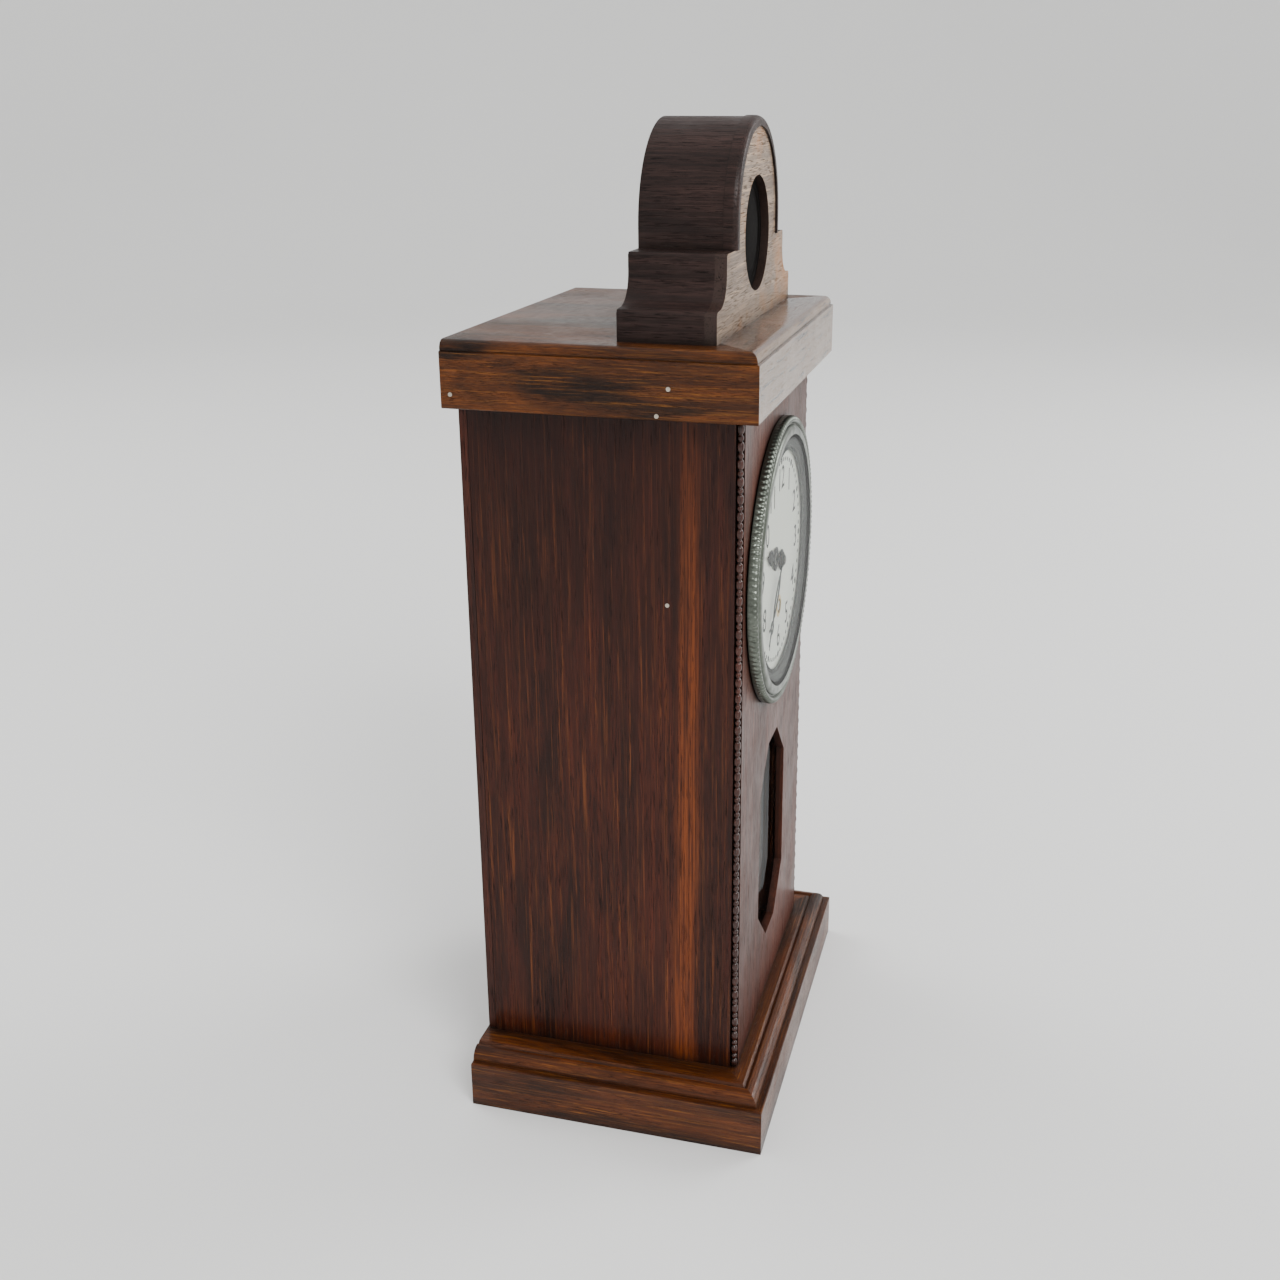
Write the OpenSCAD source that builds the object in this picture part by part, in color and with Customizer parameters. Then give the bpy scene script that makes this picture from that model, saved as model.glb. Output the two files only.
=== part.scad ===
// Oak mantel clock: spring driven, visible pendulum behind a canted window, round-topped pediment.
// The front faces -Y, +Z is up, and the origin is at the bottom centre of the whole clock.

/* [Case] */
// Width of the upright body
body_w = 122; // [110:1:130]
// Depth of the clock from the front of the base to the turn button
total_d = 118; // [112:1:124]
// How far the base stands out in front of the body
base_front_over = 13.5; // [12:0.5:16]
// How far the base stands out at each side
base_side_over = 17.5; // [14:0.5:20]
// Height of the moulded base
base_h = 22.8; // [20:0.1:26]
// Height of the underside of the cap
cap_z = 276.8; // [270:0.1:284]
// Thickness of the cap
cap_h = 23.2; // [20:0.1:26]
// How far the cap stands out in front of the body
cap_front_over = 7.5; // [6:0.5:9]
// How far the cap stands out at each side
cap_side_over = 12; // [9:0.5:14]
// Thickness of the side panels
side_t = 8; // [6:0.5:9]
// Thickness of the front panel
front_t = 6; // [5:0.5:8]
// Thickness of the back door
door_t = 3; // [2:0.5:4]
// Number of pearls on each corner strip
pearl_count = 42; // [30:1:60]

/* [Pediment] */
// Half width of the pediment's foot
foot_half = 61.6; // [58:0.2:64]
// Half width of the pediment's neck
neck_half = 47.6; // [45:0.2:50]
// Radius of the round top
arch_r = 35.4; // [33:0.2:37]
// Height of the round top's centre above the cap
arch_rise = 35.2; // [34:0.2:38]
// Thickness of the pediment, front to back
ped_d = 34; // [30:0.5:38]
// Radius of the round recess
roundel_r = 20.2; // [18:0.2:22]
// Depth of the round recess
roundel_depth = 3; // [2.5:0.1:3.5]

/* [Dial and window] */
// Height of the hands' axis
dial_z = 208.8; // [204:0.2:212]
// Outer radius of the bezel
bezel_r = 55; // [54:0.2:55.4]
// How far the bezel stands out from the front panel
bezel_proud = 4.6; // [4.4:0.1:5.2]
// Radius of the open dial
dial_open_r = 42; // [40:0.5:44]
// Half width of the pendulum window
window_half_w = 24.2; // [20:0.2:26]
// Lowest point of the pendulum window
window_z0 = 49.6; // [46:0.2:56]
// Highest point of the pendulum window
window_z1 = 135.3; // [130:0.2:138]
// Height of each canted corner of the window
window_cant = 16.8; // [12:0.2:18]
// Half width of the window's flat top and bottom
window_flat = 8.2; // [6:0.2:12]
// Minutes shown past the hour
shown_minute = 37; // [0:1:59]
// Hour shown
shown_hour = 9; // [0:1:11]

/* [Movement] */
// Height of the winding arbor
winding_z = 190; // [189:0.2:191]
// Height of the anchor and pendulum axis
anchor_z = 244.6; // [244:0.2:246]
// Distance between the movement plates
plate_gap = 22; // [21:0.5:24]
// Thickness of each movement plate
plate_t = 2; // [1.5:0.1:2.2]
// Height of the middle of the pendulum bob
bob_z = 96; // [90:0.5:100]
// Radius of the pendulum bob
bob_r = 15; // [12:0.5:18]

/* [Hidden] */

$fn = 64;
eps = 0.01;

// --- levels of the case, front to back
base_y = -total_d / 2;
front_y = base_y + base_front_over;
cap_y = front_y - cap_front_over;
back_y = total_d / 2 - 2.5;
door_y = back_y - 0.7;
door_front = door_y - door_t;
side_back = door_front - 0.3;
panel_back = front_y + front_t;

// --- widths and heights of the case
body_half = body_w / 2;
base_half = body_half + base_side_over;
cap_half = body_half + cap_side_over;
cap_top = cap_z + cap_h;
base_rail_w = 27;
cap_rail_w = 24;
pearl_r = 1.3;
corner_cut = 2 * pearl_r;
panel_half = body_half - corner_cut;
inner_half = body_half - side_t;

// --- levels of the pediment
ped_y = front_y + 9.2;
ped_face_t = 4.2;
ped_core_y = ped_y + ped_face_t;
ped_back = ped_y + ped_d;
arch_z = cap_top + arch_rise;
shoulder_z = cap_top + 27.8;
bead_w = 3.2;
bead_proud = 0.4;

// --- levels of the dial, front to back
bezel_y = front_y - bezel_proud;
dial_t = 0.8;
dial_r = 46;
dial_y = front_y - dial_t;
glass_t = 1.2;
glass_y = bezel_y + 0.1;
bezel_back = front_y - 0.3;
bezel_in = 48.6;
ring_back = dial_y - 0.5;
hand_t = 0.3;
hour_hand_y = dial_y - 0.8;
minute_hand_y = hour_hand_y - 0.6;
nut_y = minute_hand_y - 0.8;

// --- levels of the movement, front to back
plate1_y = panel_back;
plate1_back = plate1_y + plate_t;
plate2_y = plate1_back + plate_gap;
plate2_back = plate2_y + plate_t;
pend_y = plate2_back + 7;
running = 0.05;

// --- arbor positions, [x, z]
centre_at = [0, dial_z];
winding_at = [0, winding_z];
third_at = [12.4, dial_z + 11.3];
escape_at = [0, dial_z + 19.8];
anchor_at = [0, anchor_z];
minute_at = [6, dial_z + 10.4];
click_at = [13.5, winding_z - 5];

// --- teeth
great_teeth = 60;
centre_leaves = 8;
centre_teeth = 84;
third_leaves = 7;
third_teeth = 76;
escape_leaves = 7;
escape_teeth = 36;
cannon_teeth = 12;
minute_teeth = 36;
minute_leaves = 10;
hour_teeth = 40;
ratchet_teeth = 24;

// --- tooth sizes, from the distance between the two arbors of each pair
function dist(a, b) = norm(b - a);
function dir(a, b) = atan2(b[1] - a[1], b[0] - a[0]);
function tooth_size(a, b, n1, n2) = 2 * dist(a, b) / (n1 + n2);
// turn of the second wheel that puts its gap on the first wheel's tooth
function mesh_turn(a, b, n1, turn1, n2) =
    let (pitch_share = (dir(a, b) - turn1) * n1 / 360)
    dir(a, b) + 180 - (360 / n2) * (0.5 - pitch_share);

great_m = tooth_size(winding_at, centre_at, great_teeth, centre_leaves);
centre_m = tooth_size(centre_at, third_at, centre_teeth, third_leaves);
third_m = tooth_size(third_at, escape_at, third_teeth, escape_leaves);
cannon_m = tooth_size(centre_at, minute_at, cannon_teeth, minute_teeth);
hour_m = tooth_size(centre_at, minute_at, hour_teeth, minute_leaves);
great_turn = 0;
centre_pinion_turn = mesh_turn(winding_at, centre_at, great_teeth, great_turn, centre_leaves);
third_pinion_turn = mesh_turn(centre_at, third_at, centre_teeth, 0, third_leaves);
escape_pinion_turn = mesh_turn(third_at, escape_at, third_teeth, 0, escape_leaves);
minute_wheel_turn = mesh_turn(centre_at, minute_at, cannon_teeth, 0, minute_teeth);
hour_wheel_turn = mesh_turn(minute_at, centre_at, minute_leaves, 0, hour_teeth);

minute_angle = -6 * shown_minute;
hour_angle = -30 * (shown_hour + shown_minute / 60);

oak = "#6b4226";
dark_oak = "#3e2419";
pale_oak = "#9c7f6c";
brass = "#b8953c";
steel = "#8f9296";
pewter = "#8d9289";
black = "#17130f";

// ---------- helpers ----------

// a flat shape drawn in x and z, standing between two levels of y
module slab(y0, y1, at = [0, 0]) {
    translate([at[0], y1, at[1]])
        rotate([90, 0, 0])
            linear_extrude(y1 - y0)
                children();
}

// a round rod along y
module rod(r, y0, y1, at = [0, 0]) {
    translate([at[0], y1, at[1]])
        rotate([90, 0, 0])
            cylinder(h = y1 - y0, r = r);
}

// a round shape about a y axis, from a profile of [radius, distance in front of y = 0]
module turned(at, y = 0) {
    translate([at[0], y, at[1]])
        rotate([90, 0, 0])
            rotate_extrude($fn = 128)
                children();
}

// a box from its low and high corners
module block(low, high) {
    translate(low)
        cube(high - low);
}

module both_sides() {
    children();
    mirror([1, 0, 0])
        children();
}

// plain gear outline with relieved teeth, so that a pair never touches but always interlocks
module gear(teeth, size, turn = 0, tip = 0.62, root = 1.05) {
    rp = teeth * size / 2;
    step = 360 / teeth;
    polygon([for (i = [0:teeth - 1])
        for (p = [[-0.34, -root], [-0.17, 0], [-0.09, tip], [0.09, tip], [0.17, 0], [0.34, -root]])
            let (a = turn + (i + p[0]) * step, r = rp + p[1] * size)
            [r * cos(a), r * sin(a)]]);
}

// a wheel with a rim, a hub and four arms
module crossed_wheel(teeth, size, turn, rim, hub) {
    rp = teeth * size / 2;
    hollow_r = rp - 1.05 * size - rim;
    difference() {
        gear(teeth, size, turn);
        for (a = [0:90:270])
            rotate(a + 45)
                intersection() {
                    difference() {
                        circle(hollow_r);
                        circle(hub);
                    }
                    translate([hub * 0.9, hub * 0.9])
                        square(rp);
                }
    }
}

// ---------- case ----------

function arc(cx, cy, rx, ry, a0, a1, n = 6) =
    [for (i = [0:n]) let (a = a0 + (a1 - a0) * i / n) [cx + rx * cos(a), cy + ry * sin(a)]];

// section of the base moulding: distance in from the outer face, height
module base_section() {
    step_z = base_h - 4.6;
    polygon(concat([[base_rail_w, 0], [0, 0], [0, step_z - 0.5]],
        arc(0.5, step_z - 0.5, 0.5, 0.5, 180, 90, 3),
        [[2.6, step_z]],
        arc(7.0, step_z + 0.2, 4.4, 4.4, 180, 90),
        [[8.2, base_h - 0.9], [9.2, base_h], [base_rail_w, base_h]]));
}

// section of the cap moulding: distance in from the outer face, height
module cap_section() {
    round_r = 3;
    polygon(concat([[cap_rail_w, cap_z], [0.4, cap_z], [0, cap_z + 0.4], [0, cap_top - 3.9]],
        [[0.9, cap_top - 3.6]],
        arc(0.8 + round_r, cap_top - round_r, round_r, round_r, 180, 90),
        [[cap_rail_w, cap_top]]));
}

// one mitred rail across the front
module front_rail(half, y, rail_w, top) {
    intersection() {
        translate([0, 0, -1])
            linear_extrude(top + 2)
                polygon([[-half, y], [half, y], [half - rail_w, y + rail_w], [-half + rail_w, y + rail_w]]);
        translate([-half - 1, y, 0])
            rotate([90, 0, 90])
                linear_extrude(2 * half + 2)
                    children();
    }
}

// the mitred rail along the left side, running to the back
module left_rail(half, y, rail_w, top) {
    intersection() {
        translate([0, 0, -1])
            linear_extrude(top + 2)
                polygon([[-half, y], [-half + rail_w, y + rail_w], [-half + rail_w, back_y], [-half, back_y]]);
        translate([-half, back_y + 1, 0])
            rotate([90, 0, 0])
                linear_extrude(back_y - y + 2)
                    children();
    }
}

module base_front() {
    color(oak)
        front_rail(base_half, base_y, base_rail_w, base_h)
            base_section();
}

module base_left() {
    color(oak)
        left_rail(base_half, base_y, base_rail_w, base_h)
            base_section();
}

module base_right() {
    mirror([1, 0, 0])
        base_left();
}

module bottom_board() {
    board_half = base_half - base_rail_w;
    color(dark_oak)
        block([-board_half, base_y + base_rail_w, base_h - 10], [board_half, back_y, base_h]);
}

module side_left() {
    color(dark_oak)
        block([-body_half, front_y + corner_cut, base_h], [-inner_half, side_back, cap_z]);
}

module side_right() {
    mirror([1, 0, 0])
        side_left();
}

module window_outline(grow = 0) {
    w = window_half_w + grow;
    polygon([[-w, window_z0 + window_cant], [-window_flat, window_z0 - grow], [window_flat, window_z0 - grow],
        [w, window_z0 + window_cant], [w, window_z1 - window_cant], [window_flat, window_z1 + grow],
        [-window_flat, window_z1 + grow], [-w, window_z1 - window_cant]]);
}

lip = 3;
rebate = 4;
motion_hole_r = 38;

module front_panel() {
    color(pale_oak)
        difference() {
            union() {
                block([-panel_half, front_y, base_h], [panel_half, front_y + corner_cut, cap_z]);
                block([-inner_half, front_y, base_h], [inner_half, panel_back, cap_z]);
            }
            slab(front_y - 1, panel_back + 1)
                window_outline();
            block([-window_half_w - rebate, front_y + lip, window_z0 - rebate],
                [window_half_w + rebate, panel_back + 1, window_z1 + rebate]);
            rod(motion_hole_r, front_y - 1, panel_back + 1, centre_at);
            for (a = dial_foot_angles)
                rod(dial_foot_r, front_y - 1, front_y + dial_foot_l, dial_foot_at(a));
            for (at = screws_at)
                rod(screw_r, front_y + 2, panel_back + 1, at);
        }
}

// a turned strip of pearls standing in each front corner
module pearl_strips() {
    pitch = (cap_z - base_h) / pearl_count;
    neck_r = pearl_r * 0.6;
    color(dark_oak)
        both_sides()
            translate([-body_half + pearl_r, front_y + pearl_r, base_h])
                rotate_extrude($fn = 24)
                    polygon(concat([[0, 0]],
                        [for (i = [0:pearl_count - 1])
                            for (p = [[neck_r, 0.04], [pearl_r * 0.93, 0.25], [pearl_r, 0.5], [pearl_r * 0.93, 0.75],
                                [neck_r, 0.96]])
                                [p[0], (i + p[1]) * pitch]],
                        [[0, pearl_count * pitch]]));
}

module cap_front() {
    color(oak)
        front_rail(cap_half, cap_y, cap_rail_w, cap_top)
            cap_section();
}

module cap_left() {
    color(oak)
        left_rail(cap_half, cap_y, cap_rail_w, cap_top)
            cap_section();
}

module cap_right() {
    mirror([1, 0, 0])
        cap_left();
}

dowel_r = 3;
dowel_x = 38;
dowel_l = 9;
dowel_y = ped_core_y + 16;

module top_board() {
    board_half = cap_half - cap_rail_w;
    color(oak)
        difference() {
            block([-board_half, cap_y + cap_rail_w, cap_top - 14], [board_half, back_y, cap_top]);
            both_sides()
                translate([dowel_x, dowel_y, cap_top - dowel_l])
                    cylinder(h = dowel_l + 1, r = dowel_r);
        }
}

// closes the back between the door and the top board
module back_rail() {
    board_half = cap_half - cap_rail_w;
    color(dark_oak)
        difference() {
            block([-board_half, back_y - 12, cap_z], [board_half, back_y, cap_top - 14]);
            rod(screw_r, back_y - 9, back_y + 1, latch_at);
        }
}

// ---------- pediment ----------

// right half of the outline below the shoulder
function ped_half() = concat([[foot_half, cap_top], [foot_half, cap_top + 9.4], [foot_half - 0.8, cap_top + 10.6],
    [foot_half - 5.6, cap_top + 10.9], [foot_half - 6.6, cap_top + 11.2]],
    arc(neck_half + 9, cap_top + 21.5, 9, 10.4, 258, 180, 8),
    [[neck_half, shoulder_z - 0.8], [neck_half - 0.8, shoulder_z]]);

module ped_outline(r) {
    right = ped_half();
    left = [for (i = [len(right) - 1:-1:0]) [-right[i][0], right[i][1]]];
    polygon(concat(right, [[r, shoulder_z]], arc(0, arch_z, r, r, 0, 180, 32), [[-r, shoulder_z]], left));
}

module pediment_block() {
    color(dark_oak)
        difference() {
            slab(ped_core_y, ped_back)
                ped_outline(arch_r);
            both_sides()
                translate([dowel_x, dowel_y, cap_top - 1])
                    cylinder(h = dowel_l + 1, r = dowel_r);
        }
}

module pediment_face() {
    color(pale_oak)
        difference() {
            slab(ped_y, ped_core_y)
                ped_outline(arch_r - bead_w);
            rod(roundel_r, ped_y - 1, ped_core_y + 1, roundel_at);
        }
}

roundel_at = [0, cap_top + 30.6];

// section of the bead round the arch: radius, distance in front of the pediment block
module bead_section() {
    thick = ped_face_t + 0.8;
    outer = arch_r + bead_proud;
    polygon(concat([[arch_r - bead_w, 0], [outer, 0]],
        arc(outer - 1.8, thick - 2.4, 1.8, 2.4, 0, 90),
        [[arch_r - bead_w, thick]]));
}

module arch_bead() {
    color(pale_oak)
        union() {
            translate([0, ped_core_y, arch_z])
                rotate([90, 0, 0])
                    rotate_extrude(angle = 180, $fn = 128)
                        bead_section();
            both_sides()
                translate([0, ped_core_y, arch_z])
                    rotate([180, 0, 0])
                        linear_extrude(arch_z - shoulder_z)
                            bead_section();
        }
}

module roundel() {
    seat = ped_face_t - roundel_depth;
    color(black)
        turned(roundel_at, ped_core_y)
            polygon(concat([[0, 0], [roundel_r, 0], [roundel_r, seat], [roundel_r - 2.4, seat]],
                [[roundel_r - 3, seat - 0.5], [roundel_r - 4.4, seat - 0.5]],
                arc(0, seat - 0.4, 14, 1.6, 0, 90, 8)));
}

module pediment_dowels() {
    color(pale_oak)
        both_sides()
            translate([dowel_x, dowel_y, cap_top - dowel_l])
                cylinder(h = 2 * dowel_l, r = dowel_r);
}

// three-cornered blocks glued inside where the sides meet the bottom board and the cap
module glue_blocks() {
    leg = 11;
    color(pale_oak)
        both_sides()
            for (level = [[base_h, 1], [cap_z, -1]])
                translate([-inner_half, 40, level[0]])
                    rotate([90, 0, 0])
                        linear_extrude(60)
                            polygon([[0, 0], [leg, 0], [0, leg * level[1]]]);
}

nail_r = 0.75;
nail_l = 14;
nail_proud = 0.2;

// nails through the side rails of the cap and through the side panels: [half width, y, z]
nails = [[cap_half, back_y - 3.5, cap_z + 5], [cap_half, cap_y + 30, cap_z + 10.5],
    [cap_half, cap_y + 34, cap_z + 1.4], [body_half, front_y + 26.5, dial_z]];

module case_nails() {
    color(steel)
        both_sides()
            for (n = nails)
                translate([-n[0] - nail_proud, n[1], n[2]])
                    rotate([0, 90, 0])
                        cylinder(h = n[0] == body_half ? side_t : nail_l, r = nail_r, $fn = 24);
}

// ---------- window ----------

pane_t = 2;
pane_gap = 0.5;

module window_glass() {
    color([0.8, 0.88, 0.86, 0.3])
        block([-window_half_w - rebate + pane_gap, front_y + lip, window_z0 - rebate + pane_gap],
            [window_half_w + rebate - pane_gap, front_y + lip + pane_t, window_z1 + rebate - pane_gap]);
}

module window_stops() {
    stop_w = 3;
    color(dark_oak)
        both_sides()
            block([window_half_w + rebate - stop_w, front_y + lip + pane_t, window_z0 - rebate + 1],
                [window_half_w + rebate, panel_back, window_z1 + rebate - 1]);
}

// ---------- dial ----------

dial_foot_r = 1;
dial_foot_l = 4;
dial_foot_angles = [90, 210, 330];
function dial_foot_at(a) = centre_at + 43.5 * [cos(a), sin(a)];
winding_hole_r = 3.4;
hour_pipe_r = 2.2;

module dial_plate() {
    color("white")
        difference() {
            union() {
                rod(dial_r, dial_y, front_y, centre_at, $fn = 128);
                for (a = dial_foot_angles)
                    rod(dial_foot_r, front_y - eps, front_y + dial_foot_l, dial_foot_at(a));
            }
            rod(hour_pipe_r + 0.4, dial_y - 1, front_y + 1, centre_at);
            rod(winding_hole_r, dial_y - 1, front_y + 1, winding_at);
        }
}

module winding_eyelet() {
    color(brass)
        turned(winding_at, dial_y)
            polygon([[winding_hole_r - 0.5, -dial_t], [winding_hole_r, -dial_t], [winding_hole_r, 0],
                [winding_hole_r + 1, 0], [winding_hole_r + 0.6, 0.15], [winding_hole_r - 0.5, 0.15]]);
}

// the bezel swings on a small hinge at its right edge
hinge_x = bezel_r + 1.7;
hinge_y = front_y - 1.5;
hinge_r = 1;
hinge_pin_r = 0.5;
hinge_knuckle = 4;
hinge_gap = 0.3;

module upright(x, y, r, z0, z1) {
    translate([x, y, z0])
        cylinder(h = z1 - z0, r = r, $fn = 32);
}

module bezel_hinge_leaf() {
    color(brass)
        for (s = [-1, 1]) {
            z0 = s * (hinge_knuckle / 2 + hinge_gap);
            z1 = s * (hinge_knuckle * 1.5);
            low = dial_z + min(z0, z1);
            high = dial_z + max(z0, z1);
            difference() {
                union() {
                    upright(hinge_x, hinge_y, hinge_r, low, high);
                    block([hinge_x - 0.7, hinge_y, low], [panel_half, front_y, high]);
                }
                upright(hinge_x, hinge_y, hinge_pin_r, low - 1, high + 1);
            }
        }
}

module bezel_hinge_pin() {
    color(steel)
        upright(hinge_x, hinge_y, hinge_pin_r, dial_z - hinge_knuckle * 1.5, dial_z + hinge_knuckle * 1.5);
}

// section of the bezel: radius, distance in front of the panel
module bezel_section() {
    polygon(concat([[bezel_in, 0.3], [bezel_r, 0.3], [bezel_r, 2.6]],
        arc(bezel_r - 1.5, bezel_proud - 1.6, 1.5, 1.6, 0, 150),
        [[bezel_r - 3.3, bezel_proud - 1.5], [bezel_r - 3.9, bezel_proud - 1.5]],
        arc(bezel_r - 5, bezel_proud - 0.9, 1, 0.9, 20, 90, 4),
        [[bezel_in - 0.6, bezel_proud], [bezel_in - 0.6, bezel_proud - 0.1], [bezel_in, bezel_proud - 0.1]]));
}

module bezel() {
    low = dial_z - hinge_knuckle / 2;
    high = dial_z + hinge_knuckle / 2;
    color(pewter)
        difference() {
            union() {
                turned(centre_at, front_y)
                    bezel_section();
                upright(hinge_x, hinge_y, hinge_r, low, high);
                block([bezel_r - 1, hinge_y - 0.6, low], [hinge_x, hinge_y + 0.6, high]);
            }
            upright(hinge_x, hinge_y, hinge_pin_r + running, low - 1, high + 1);
        }
}

// the smooth cove between the glass and the dial
module sight_ring() {
    rise = ring_back - glass_y - glass_t;
    color(pewter)
        turned(centre_at, ring_back)
            polygon(concat([[dial_open_r, 0], [bezel_in, 0], [bezel_in, rise]],
                arc(dial_open_r, rise, bezel_in - 1.4 - dial_open_r, rise - 0.3, 0, -90, 8)));
}

module dial_glass() {
    color([0.85, 0.9, 0.9, 0.25])
        rod(bezel_in - running, glass_y, glass_y + glass_t, centre_at, $fn = 128);
}

// ---------- hands and motion work ----------

arbor_r = 0.9;
cannon_r = 1.5;

module hand_shape(length, spade, wide) {
    hub = 3;
    difference() {
        union() {
            circle(hub);
            polygon([[-wide, 0], [wide, 0], [wide * 0.55, length - 2 * spade], [-wide * 0.55, length - 2 * spade]]);
            translate([0, length - 1.9 * spade])
                circle(spade * 0.36);
            polygon([[0, length - 1.75 * spade], [spade * 0.62, length - 1.15 * spade],
                [spade * 0.5, length - 0.8 * spade], [0, length], [-spade * 0.5, length - 0.8 * spade],
                [-spade * 0.62, length - 1.15 * spade]]);
        }
        children();
    }
}

module minute_hand() {
    color(black)
        slab(minute_hand_y, minute_hand_y + hand_t, centre_at)
            rotate(minute_angle)
                hand_shape(36, 6.5, 0.75)
                    circle(arbor_r);
}

module hour_hand() {
    color(black)
        slab(hour_hand_y, hour_hand_y + hand_t, centre_at)
            rotate(hour_angle)
                hand_shape(29, 8, 1)
                    circle(hour_pipe_r);
}

module hand_nut() {
    color(brass)
        turned(centre_at, minute_hand_y)
            polygon([[arbor_r, 0], [2.2, 0], [2.2, 0.3], [1.6, 0.8], [arbor_r, 0.8]]);
}

cannon_y = panel_back - 2.5;

module cannon_pinion() {
    color(brass)
        difference() {
            union() {
                slab(cannon_y, cannon_y + 1.6, centre_at)
                    gear(cannon_teeth, cannon_m);
                rod(cannon_r, minute_hand_y + hand_t, cannon_y + eps, centre_at);
            }
            rod(arbor_r, minute_hand_y - 1, panel_back, centre_at);
        }
}

hour_wheel_y = cannon_y - 2;

module hour_wheel() {
    color(brass)
        difference() {
            union() {
                slab(hour_wheel_y, hour_wheel_y + 1.2, centre_at)
                    gear(hour_teeth, hour_m, hour_wheel_turn);
                rod(hour_pipe_r, hour_hand_y, hour_wheel_y + eps, centre_at);
            }
            rod(cannon_r + running, hour_hand_y - 1, panel_back, centre_at);
        }
}

stud_r = 0.8;

module minute_wheel() {
    color(brass)
        difference() {
            union() {
                slab(cannon_y + 0.1, cannon_y + 1.5, minute_at)
                    gear(minute_teeth, cannon_m, minute_wheel_turn);
                slab(hour_wheel_y - 0.3, cannon_y + 0.1 + eps, minute_at)
                    gear(minute_leaves, hour_m);
            }
            rod(stud_r + running, front_y, panel_back + 1, minute_at);
        }
}

module minute_stud() {
    color(steel)
        rod(stud_r, hour_wheel_y - 0.5, plate1_back, minute_at);
}

// ---------- movement frame ----------

plate1_half = 46;
plate1_z0 = 158;
plate1_z1 = 259;
plate2_half = 36;
plate2_z0 = 166;
plate2_z1 = 254;
pillar_r = 3;
screw_r = 1.1;
pillars_at = [for (x = [-30, 30]) for (z = [172, 248]) [x, z]];
screws_at = [for (x = [-42, 42]) for (z = [162, 255]) [x, z]];
pivot_r = 0.6;
winding_r = 2;
rear_winding_r = 1.5;

// the arbors that both plates carry
thin_arbors = [third_at, escape_at];

module pivot_holes(y0, y1) {
    for (at = thin_arbors)
        rod(pivot_r + running, y0, y1, at, $fn = 32);
}

module front_plate() {
    color(brass)
        difference() {
            block([-plate1_half, plate1_y, plate1_z0], [plate1_half, plate1_back, plate1_z1]);
            pivot_holes(plate1_y - 1, plate1_back + 1);
            rod(pivot_r + running, plate1_y - 1, plate1_back + 1, anchor_at);
            rod(arbor_r + running, plate1_y - 1, plate1_back + 1, centre_at);
            rod(winding_r + running, plate1_y - 1, plate1_back + 1, winding_at);
            rod(stud_r, plate1_y - 1, plate1_back + 1, minute_at);
            rod(stud_r, plate1_y - 1, plate1_back + 1, click_at);
            for (at = screws_at)
                rod(screw_r, plate1_y - 1, plate1_back + 1, at);
        }
}

module back_plate() {
    color(brass)
        difference() {
            block([-plate2_half, plate2_y, plate2_z0], [plate2_half, plate2_back, plate2_z1]);
            pivot_holes(plate2_y - 1, plate2_back + 1);
            rod(crutch_arbor_r + 0.3, plate2_y - 1, plate2_back + 1, anchor_at);
            rod(pivot_r + running, plate2_y - 1, plate2_back + 1, centre_at);
            rod(rear_winding_r + running, plate2_y - 1, plate2_back + 1, winding_at);
            for (at = pillars_at)
                rod(screw_r, plate2_y - 1, plate2_back + 1, at);
        }
}

module pillars() {
    color(brass)
        for (at = pillars_at)
            difference() {
                rod(pillar_r, plate1_back, plate2_y, at);
                rod(screw_r, plate2_y - 6, plate2_y + 1, at);
            }
}

// a cheese-head screw whose head lies behind level y and whose shank runs to level tip
module screw(at, y, tip, head_r = 2.2) {
    head = 1.2;
    difference() {
        union() {
            rod(head_r, y, y + head, at, $fn = 32);
            rod(screw_r, tip, y + eps, at, $fn = 32);
        }
        translate([at[0], y + head, at[1]])
            cube([head_r * 3, 0.8, 0.5], center = true);
    }
}

module movement_screws() {
    color(steel) {
        for (at = screws_at)
            screw(at, plate1_back, front_y + 2);
        for (at = pillars_at)
            screw(at, plate2_back, plate2_y - 6);
    }
}

// ---------- going barrel and winding work ----------

barrel_r = 15.2;
barrel_wall = 0.8;
great_y = plate1_back + 1;
great_t = 1.6;
drum_back = great_y + great_t + 12;
cover_t = 1;

module barrel() {
    color(brass)
        difference() {
            union() {
                slab(great_y, great_y + great_t, winding_at)
                    gear(great_teeth, great_m, great_turn);
                rod(barrel_r, great_y + great_t - eps, drum_back, winding_at);
            }
            rod(barrel_r - barrel_wall, great_y + great_t, drum_back + 1, winding_at);
            rod(winding_r + running, great_y - 1, drum_back, winding_at);
        }
}

module barrel_cover() {
    color(brass)
        difference() {
            rod(barrel_r, drum_back, drum_back + cover_t, winding_at);
            rod(winding_r + running, drum_back - 1, drum_back + 2, winding_at);
        }
}

// a flat spiral strip that lies against the drum at its outer end
module mainspring() {
    turns = 6;
    steps = 24;
    strip = 0.4;
    inner = 4.2;
    outer = barrel_r - barrel_wall - strip;
    function coil_r(i) = inner + (outer - inner) * i / (turns * steps);
    function coil_at(i, r) = [r * cos(i * 360 / steps), r * sin(i * 360 / steps)];
    color(steel)
        slab(great_y + great_t + 1, drum_back - 1, winding_at)
            polygon(concat([for (i = [0:turns * steps]) coil_at(i, coil_r(i))],
                [for (i = [turns * steps:-1:0]) coil_at(i, coil_r(i) + strip)]));
}

square_w = 3.2;
ratchet_y = panel_back - 1.7;
ratchet_t = 1.4;
ratchet_tip = 8;

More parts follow.
